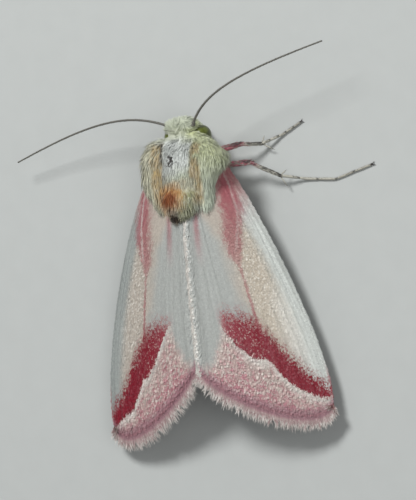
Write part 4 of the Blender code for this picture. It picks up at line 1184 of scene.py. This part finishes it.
def eye_shape(sign):
    """A sphere a little longer up than across, with its pole pointing out to the side."""
    t = np.linspace(0, pi, 34)[1:-1]
    angle = np.linspace(0, 2 * pi, 48, endpoint=False)
    t, angle = (grid.ravel() for grid in np.meshgrid(t, angle, indexing="ij"))
    ball = np.stack([np.cos(t), np.sin(t) * np.cos(angle), np.sin(t) * np.sin(angle)], -1)
    ball = np.concatenate([ball, [(1, 0, 0), (-1, 0, 0)]])
    centre = EYE_CENTRE * (sign, 1, 1) + (HEAD_MIDDLE, 0, 0)
    outward = unit(np.array((sign, 0.35, 0.25)))
    places = centre + ball * EYE_RADIUS * (0.92, 1.0, 1.08)
    lie = np.column_stack([np.zeros(len(ball)), (ball @ outward + 1) / 2, np.zeros(len(ball))])
    return places, shell_faces(32, 48), lie


def plain_finish(name, colour, roughness, scale, contrast=0.35, **constants):
    """A mottled finish of one colour, for a small hidden piece."""
    finish = Finish(name, roughness, **constants)
    noise = finish.noise(finish.object_place(), scale, 3.0)
    finish.colour(finish.darken(colour, 1.0 - contrast / 2 + noise * contrast))
    finish.bump(noise, 0.3, 0.01 * MM)
    return finish.material


def leg_finish(name, looks):
    """Pink on the femur, dark streaks on the pale tibia, and dark rings on the tarsus. lie holds the
    place along the leg in segments, coxa 0 to 1, femur to 2, tibia to 3 and tarsus to 4, and the angle
    round it."""
    finish = Finish(name, 0.6, Specular_IOR_Level=0.4, Sheen_Weight=0.25)
    along, around = finish.split("lie")[:2]
    shade = finish.split("grain")[0]
    speckle = finish.noise(finish.object_place(), 7000.0, 2.0)
    tan, pink, band = tuple(looks.tan), tuple(looks.pink), tuple(looks.band)
    femur = finish.mix((shade + speckle - 0.5).rises(0.45, 0.8), pink, tan)
    front = (around - pi * 0.75).size().rises(1.6, 0.7)
    colour = finish.mix((along + shade * 0.4 - 0.2).rises(1.95, 2.4), femur, tan)
    streak = front * (speckle + shade * 0.5).rises(0.42, 0.62) * along.rises(1.2, 1.9)
    colour = finish.mix(streak * 0.85, colour, band)
    step = (along - 3.0) * TARSUS_JOINTS
    joint = (step - finish.math("FLOOR", step)).rises(0.8, 0.95) * along.rises(2.98, 3.02)
    ankle = (along - 2.93).size().rises(0.08, 0.02)
    colour = finish.mix((joint + ankle).rises(0.0, 1.0) * 0.6, colour, band)
    colour = finish.mix(along.rises(3.97, 4.0), colour, (0.03, 0.02, 0.02))
    finish.colour(finish.darken(colour, 0.6 + shade * 0.35 + speckle * 0.35))
    finish.bump(speckle, 0.35, 0.01 * MM)
    return finish.material


def limb_radii(t, radius, swell=0.25, ends=0.62):
    """A limb's radius along it: narrow joints, and widest a third of the way, as sin(pi t^0.8)^0.5."""
    bulge = np.sin(pi * np.clip(t, 0, 1) ** 0.8) ** 0.5
    return radius * (ends + (1 - ends + swell * 0.4) * bulge)


def leg_shapes(name, looks):
    """A leg's closed limbs in order, each with its points' places along the leg in segments."""
    joints = np.array(LEGS[name], float)
    radii = [COXA_RADIUS, looks.femur_radius / MM, looks.tibia_radius / MM]
    shapes = []
    for number, radius in enumerate(radii):
        t = np.linspace(0, 1, 15)
        start, end = joints[number], joints[number + 1]
        bow = np.array((0.0, 0.0, 0.10 if number == 1 else 0.03))
        path = start + (end - start) * t[:, None] + bow * np.sin(pi * t)[:, None]
        shapes.append((tube(path, limb_radii(t, radius), 12, 1.0 if number else 1.2), number + t, path))
    foot = joints[3:]
    reach = np.concatenate([[0], np.cumsum(np.linalg.norm(np.diff(foot, axis=0), axis=1))])
    reach /= reach[-1]
    for number in range(TARSUS_JOINTS):
        t = np.linspace(0, 1, 9)
        share = (number + t) / TARSUS_JOINTS
        path = np.stack([np.interp(share, reach, foot[:, axis]) for axis in range(3)], -1)
        radius = looks.tarsus_radius / MM * (1.1 - 0.07 * number)
        shapes.append((tube(path, limb_radii(t, radius, 0.3, 0.75), 10), 3 + share, path))
    return shapes, joints


def spines(joints):
    """The tibia's spurs and the two claws, as thin cones that bend: root, direction, length,
    width and place along the leg."""
    ankle, heel, tip = joints[3], joints[4], joints[-1]
    ahead = unit(heel - ankle)
    side = unit(np.cross(ahead, UP))
    forward = unit(tip - joints[-2])
    across = unit(np.cross(forward, UP))
    rows = []
    for sign in (-1, 1):
        rows.append((ankle, ahead * 0.6 + side * sign * 0.7, 0.78 if sign > 0 else 0.5, 0.075, 2.5))
        rows.append((tip, forward * 0.8 + across * sign * 0.5 - UP * 0.1, 0.2, 0.045, 4.0))
    return rows


def make_leg(name, looks, finish, draw):
    """A leg's skin, and its hair, spurs and claws as one coat."""
    shapes, joints = leg_shapes(name, looks)
    parts = [shape for shape, along, path in shapes]
    lies = []
    for (points, _), along, _ in shapes:
        sides = (len(points) - 2) // len(along)
        lies.append(np.concatenate([np.repeat(along, sides), [along[0], along[-1]]]))
    places, faces = joined(parts)
    place_along = np.concatenate(lies)
    lie = np.column_stack([place_along, np.zeros(len(places)), np.zeros(len(places))])
    grain = np.tile((0.5, 0.5, 0.0), (len(places), 1))
    make_piece(name + "_skin", places, faces, finish, (name,), lie, grain)

    coat = Tufts(HAIR, RIDGE_UP, 0.4)
    for number, ((points, groups), along, path) in enumerate(shapes):
        count, length, width = LEG_HAIRS[min(number, 3)]
        t = draw.random(count)
        angle = draw.random(count) * 2 * pi
        sides = (len(points) - 2) // len(along)
        index, ahead, normal = round_path(path, t, angle)
        share = (t * (len(path) - 1) - index)[:, None]
        middle = path[index] * (1 - share) + path[index + 1] * share
        radius = np.linalg.norm(points[index * sides] - path[index], axis=1)
        root = middle + normal * (radius * 0.9)[:, None]
        place_t = along[index] * (1 - share[:, 0]) + along[index + 1] * share[:, 0]
        lie = np.column_stack([place_t, angle, np.zeros(count)])
        coat.grow(root, ahead, normal, length * draw.uniform(0.7, 1.2, count),
                  width, draw.uniform(0.05, 0.28, count), 0.15, lie, draw.random(count),
                  np.column_stack([place_t / 4, angle / (2 * pi)]))
    for root, direction, length, width, place_t in spines(joints):
        coat.grow(root[None], unit(direction)[None], unit(np.cross(np.cross(direction, UP), direction))[None],
                  length, width, 0.05, 0.15, np.array([[place_t, 0, 0]]), 0.6, np.array([[0.5, 0.5]]))
    coat.make(name + "_hair", finish)


class MOTH_OT_forewings(bpy.types.Operator):
    """Makes both forewings: the membrane with its veins, the scales and the fringe"""

    bl_idname = "moth.forewings"
    bl_label = "Forewings"

    def execute(self, context):
        looks = context.scene.moth_wings
        for number, side in enumerate(SIDES):
            draw = np.random.default_rng(SEED + number)
            surface = forewing_surface(side)
            scale = wing_finish("scales_" + side, side, looks, 0.5)
            skin = wing_finish("membrane_" + side, side, looks, 0.55)
            hem = wing_finish("fringe_" + side, side, looks, 0.55, 0.75)
            wing_skin("forewing_" + side + "_membrane", surface, 90, 80, skin,
                      ("forewing_" + side,))
            for part, span in (("inner", (0.02, 0.60)), ("outer", (0.60, 0.995))):
                scale_coat(side, surface, f"scales_{part}_{side}", looks.scales, span, looks, scale,
                           draw)
            scale_coat(side, surface, "scales_under_" + side, looks.scales // 2, (0.1, 0.99), looks, scale,
                       draw, below=True)
            fringe("fringe_forewing_" + side, surface, FOREWING_FRINGE, looks, hem, draw)
        return {"FINISHED"}


class MOTH_OT_hindwings(bpy.types.Operator):
    """Makes the hindwings that are folded under the forewings"""

    bl_idname = "moth.hindwings"
    bl_label = "Hindwings"

    def execute(self, context):
        looks = context.scene.moth_wings
        for number, side in enumerate(SIDES):
            draw = np.random.default_rng(SEED + 10 + number)
            surface = hindwing_surface(side)
            finish = plain_finish("hindwing_" + side, tuple(looks.cream), 0.55, 2500.0, 0.2, Sheen_Weight=0.2)
            wing_skin("hindwing_" + side + "_membrane", surface, 50, 40, finish,
                      ("hindwing_" + side,))
            scale_coat(side, surface, "scales_hind_" + side, looks.scales // 3, (0.05, 0.99), looks, finish,
                       draw)
            hem = plain_finish("hindwing_hem_" + side, tuple(looks.pink), 0.55, 2500.0, 0.3, Sheen_Weight=0.2)
            fringe("fringe_hindwing_" + side, surface, HINDWING_FRINGE, looks, hem, draw)
        return {"FINISHED"}


class MOTH_OT_body(bpy.types.Operator):
    """Makes the skin of head, thorax, abdomen and flaps, and the hair scales on them"""

    bl_idname = "moth.body"
    bl_label = "Body"

    def execute(self, context):
        looks = context.scene.moth_body
        draw = np.random.default_rng(SEED + 20)
        skin_finish = coat_finish("skin", looks, 0.7, 0.0)
        hair_finish = coat_finish("coat", looks)
        cap = lobe(**CAP)
        skins = [
            ("body_skin", body_surface, (BODY_START, BODY_END), (150, 56), "thorax",
             ("head", "thorax", "abdomen")),
            ("mantle_skin", mantle_surface, (MANTLE_START, MANTLE_END), (110, 96), "tegula",
             ("tegula_right", "tegula_left")),
            ("head_cap_skin", cap, (0.0, 1.0), (30, 40), "head", ()),
        ]
        for name, surface, (start, end), (rings, sides), slot, replaced in skins:
            places, faces = closed_skin(surface, start, end, rings, sides)
            grain = np.tile((0.5, 0.2, 0.0), (len(places), 1))
            make_piece(name, places, faces, skin_finish, replaced, places, grain)

        length, width, count = looks.hair_length / MM, looks.hair_width / MM, looks.hairs
        flap = {"longer": 0.5, "facing": -0.75, "comb": (0.0, -0.3, 0.0)}
        coats = [
            ("coat_thorax", "thorax", int(count * 2.6), mantle_surface, (-1.5, 0.95), (2.56, 2.2),
             outward_from_line, 0.6, 0.2, 0.14, {"longer": 0.3, "facing": -0.6}),
            ("coat_tegula_right", "tegula", int(count * 1.9), mantle_surface, (-1.62, -0.5), (1.95, 0.95),
             outward_from_line, 0.62, 0.2, 0.14, flap),
            ("coat_tegula_left", "tegula", int(count * 1.9), mantle_surface, (-1.45, 2.2), (2.2, pi + 0.5),
             outward_from_line, 0.62, 0.2, 0.14, flap),
            ("coat_head", "head", int(count * 0.9), cap, (0.02, 0.0), (0.95, 2 * pi),
             outward_from(CAP["centre"]), 0.42, 0.2, 0.2, {"longer": 0.2}),
            ("coat_face", "head", int(count * 0.35), body_surface, (-2.4, 0.0), (-1.35, 2 * pi),
             outward_from((HEAD_MIDDLE, 1.8, 2.1)), 0.34, 0.3, 0.22, {"comb": (0.0, 0.0, -1.4)}),
            ("coat_abdomen", "abdomen", int(count * 0.8), body_surface, (1.9, 0.0),
             (BODY_END - 0.1, 2 * pi), outward_from((0.1, -5.0, 1.7)), 0.55, 0.2, 0.14, {}),
            ("coat_breast", "thorax", int(count * 0.6), body_surface, (-1.5, pi + 0.1),
             (1.9, 2 * pi - 0.1), outward_from((0.08, -0.4, 2.4)), 0.75, 0.26, 0.26, {}),
        ]
        for name, slot, total, surface, low, high, outward, reach, lift, droop, extra in coats:
            coat = Tufts(HAIR, FLAT_UP, 0.3)
            hair_coat(coat, surface, total, low, high, outward, length * reach, width, lift, droop, draw,
                      **extra)
            coat.make(name, hair_finish, flat=True)
        return {"FINISHED"}


class MOTH_OT_head(bpy.types.Operator):
    """Makes the eyes, palps, tongue and feelers"""

    bl_idname = "moth.head"
    bl_label = "Eyes and feelers"

    def execute(self, context):
        looks = context.scene.moth_head
        body = context.scene.moth_body
        eye = eye_finish(looks)
        thread = feeler_finish(looks)
        hair_finish = coat_finish("palp_coat", body)
        horn = plain_finish("tongue", tuple(looks.horn), 0.35, 6000.0)
        for number, (side, sign) in enumerate(SIDES.items()):
            draw = np.random.default_rng(SEED + 30 + number)
            places, faces, lie = eye_shape(sign)
            make_piece("eye_" + side + "_lens", places, faces, eye, ("eye_" + side,), lie)
            places, faces, lie, path, taper = feeler_shape(side)
            make_piece("antenna_" + side + "_thread", places, faces, thread,
                       ("antenna_" + side,), lie)
            coat = Tufts(SPIKE, RIDGE_UP, 1.0)
            t = draw.random(BRISTLES)
            angle = draw.random(BRISTLES) * 2 * pi
            index, ahead, normal = round_path(path, t, angle)
            lie = np.column_stack([t * FEELER_SEGMENTS, np.sin(angle), np.zeros(BRISTLES)])
            coat.grow(path[index] + normal * taper[index][:, None] * 0.8, ahead, normal,
                      draw.uniform(0.04, 0.07, BRISTLES), 0.012, 0.5, 0.1, lie, draw.random(BRISTLES),
                      np.column_stack([t, angle / (2 * pi)]))
            coat.make("antenna_" + side + "_bristles", thread)

            t = np.linspace(0, 1, 24)
            path = bezier(np.array(PALP_PATH) * (sign, 1, 1), t)
            radii = PALP_RADIUS * (1 - 0.55 * t)
            places, faces = tube(path, radii, 12)
            grain = np.tile((0.4, 0.2, 0.0), (len(places), 1))
            make_piece("palp_" + side + "_skin", places, faces, hair_finish, ("palp_" + side,),
                       places, grain)
            coat = Tufts(HAIR, RIDGE_UP, 0.45)
            t = draw.random(PALP_HAIRS)
            angle = draw.random(PALP_HAIRS) * 2 * pi
            index, ahead, normal = round_path(path, t, angle)
            root = path[index] + normal * radii[index][:, None] * 0.8
            coat.grow(root, ahead, normal, draw.uniform(0.2, 0.34, PALP_HAIRS), 0.045, 0.4, 0.3, root,
                      draw.random(PALP_HAIRS), np.column_stack([t, angle / (2 * pi)]))
            coat.make("palp_" + side + "_hair", hair_finish)

        turn = np.linspace(0, 1, 160)
        angle = 2 * pi * TONGUE_TURNS * turn
        radius = TONGUE_RADIUS + TONGUE_GROWTH * turn
        coil = np.stack([0.02 * np.sin(angle / 2) + 1e-4, radius * np.cos(angle), radius * np.sin(angle)], -1)
        places, faces = tube(TONGUE_MIDDLE + coil, 0.014 + 0.01 * turn, 10)
        make_piece("tongue", places, faces, horn)
        return {"FINISHED"}


class MOTH_OT_legs(bpy.types.Operator):
    """Makes the six legs, with their hair, spurs and claws"""

    bl_idname = "moth.legs"
    bl_label = "Legs"

    def execute(self, context):
        looks = context.scene.moth_legs
        finish = leg_finish("leg", looks)
        for number, name in enumerate(LEGS):
            make_leg(name, looks, finish, np.random.default_rng(SEED + 50 + number))
        return {"FINISHED"}


class MOTH_OT_stage(bpy.types.Operator):
    """Makes the floor, the lights and the camera"""

    bl_idname = "moth.stage"
    bl_label = "Stage"

    def execute(self, context):
        looks = context.scene.moth_stage
        scene = context.scene
        mesh = bpy.data.meshes.new("floor")
        corners = [(x * FLOOR_HALF, y * FLOOR_HALF, 0) for x, y in ((-1, -1), (1, -1), (1, 1), (-1, 1))]
        mesh.from_pydata(corners, [], [(0, 1, 2, 3)])
        floor = bpy.data.objects.new("floor", mesh)
        scene.collection.objects.link(floor)
        finish = Finish("floor", 0.9, Specular_IOR_Level=0.1)
        speckle = finish.noise(finish.object_place(), 900.0, 2.0)
        finish.colour(finish.darken(tuple(looks.floor), 0.97 + speckle * 0.06))
        mesh.materials.append(finish.material)

        world = bpy.data.worlds.new("studio")
        world.use_nodes = True
        sky = world.node_tree.nodes["Background"].inputs
        sky["Color"].default_value = SKY
        sky["Strength"].default_value = looks.fill
        scene.world = world
        target = (CAMERA_TARGET + PLACE) * MM
        for name, place, size, share in LAMPS:
            lamp = bpy.data.lights.new(name, "AREA")
            lamp.shape = "DISK"
            lamp.size = size
            lamp.energy = looks.key_power * share
            light = bpy.data.objects.new(name, lamp)
            light.location = target + np.array(place)
            light.rotation_mode = "QUATERNION"
            light.rotation_quaternion = Vector(unit(-np.array(place))).to_track_quat("-Z", "Y")
            scene.collection.objects.link(light)

        back = np.array((np.sin(CAMERA_TIP), 0.0, np.cos(CAMERA_TIP)))
        level = np.array((np.cos(CAMERA_TIP), 0.0, -np.sin(CAMERA_TIP)))
        ahead = np.array((0.0, 1.0, 0.0))
        right = level * np.cos(CAMERA_TURN) - ahead * np.sin(CAMERA_TURN)
        up = ahead * np.cos(CAMERA_TURN) + level * np.sin(CAMERA_TURN)
        lens = bpy.data.cameras.new("camera")
        lens.sensor_width = SENSOR_WIDTH
        lens.lens = SENSOR_WIDTH * CAMERA_DISTANCE / CAMERA_LONG_SIDE
        lens.clip_start = 0.005
        lens.clip_end = 10.0
        camera = bpy.data.objects.new("camera", lens)
        spot = target + back * CAMERA_DISTANCE * MM
        camera.matrix_world = Matrix([(*row, spot[index]) for index, row in
                                      enumerate(np.stack([right, up, back], axis=1))] + [(0, 0, 0, 1)])
        scene.collection.objects.link(camera)
        scene.camera = camera
        scene.view_settings.view_transform = "Standard"
        return {"FINISHED"}


class MOTH_PT_panel(bpy.types.Panel):
    """Lists the moth's groups of pieces and what a user may change"""

    bl_idname = "MOTH_PT_panel"
    bl_label = "Clouded crimson moth"
    bl_space_type = "VIEW_3D"
    bl_region_type = "UI"
    bl_category = "Moth"

    def draw(self, context):
        for operator, group in STEPS:
            box = self.layout.box()
            box.operator(operator)
            looks = getattr(context.scene, group)
            for name in looks.__annotations__:
                box.prop(looks, name)


STEPS = (
    ("moth.stage", "moth_stage"),
    ("moth.body", "moth_body"),
    ("moth.head", "moth_head"),
    ("moth.legs", "moth_legs"),
    ("moth.hindwings", "moth_wings"),
    ("moth.forewings", "moth_wings"),
)
GROUPS = {
    "moth_wings": MothWingLooks,
    "moth_body": MothBodyLooks,
    "moth_head": MothHeadLooks,
    "moth_legs": MothLegLooks,
    "moth_stage": MothStageLooks,
}
CLASSES = (
    *GROUPS.values(), MOTH_OT_stage, MOTH_OT_body, MOTH_OT_head, MOTH_OT_legs, MOTH_OT_hindwings,
    MOTH_OT_forewings, MOTH_PT_panel,
)


def register():
    for made in CLASSES:
        bpy.utils.register_class(made)
    for name, group in GROUPS.items():
        setattr(bpy.types.Scene, name, PointerProperty(type=group))


def unregister():
    for name in GROUPS:
        delattr(bpy.types.Scene, name)
    for made in reversed(CLASSES):
        bpy.utils.unregister_class(made)


def main():
    register()
    collection = bpy.data.collections.new(COLLECTION)
    bpy.context.scene.collection.children.link(collection)
    bpy.ops.moth.stage()
    bpy.ops.moth.body()
    bpy.ops.moth.head()
    bpy.ops.moth.legs()
    bpy.ops.moth.hindwings()
    bpy.ops.moth.forewings()


if __name__ == "__main__":
    main()
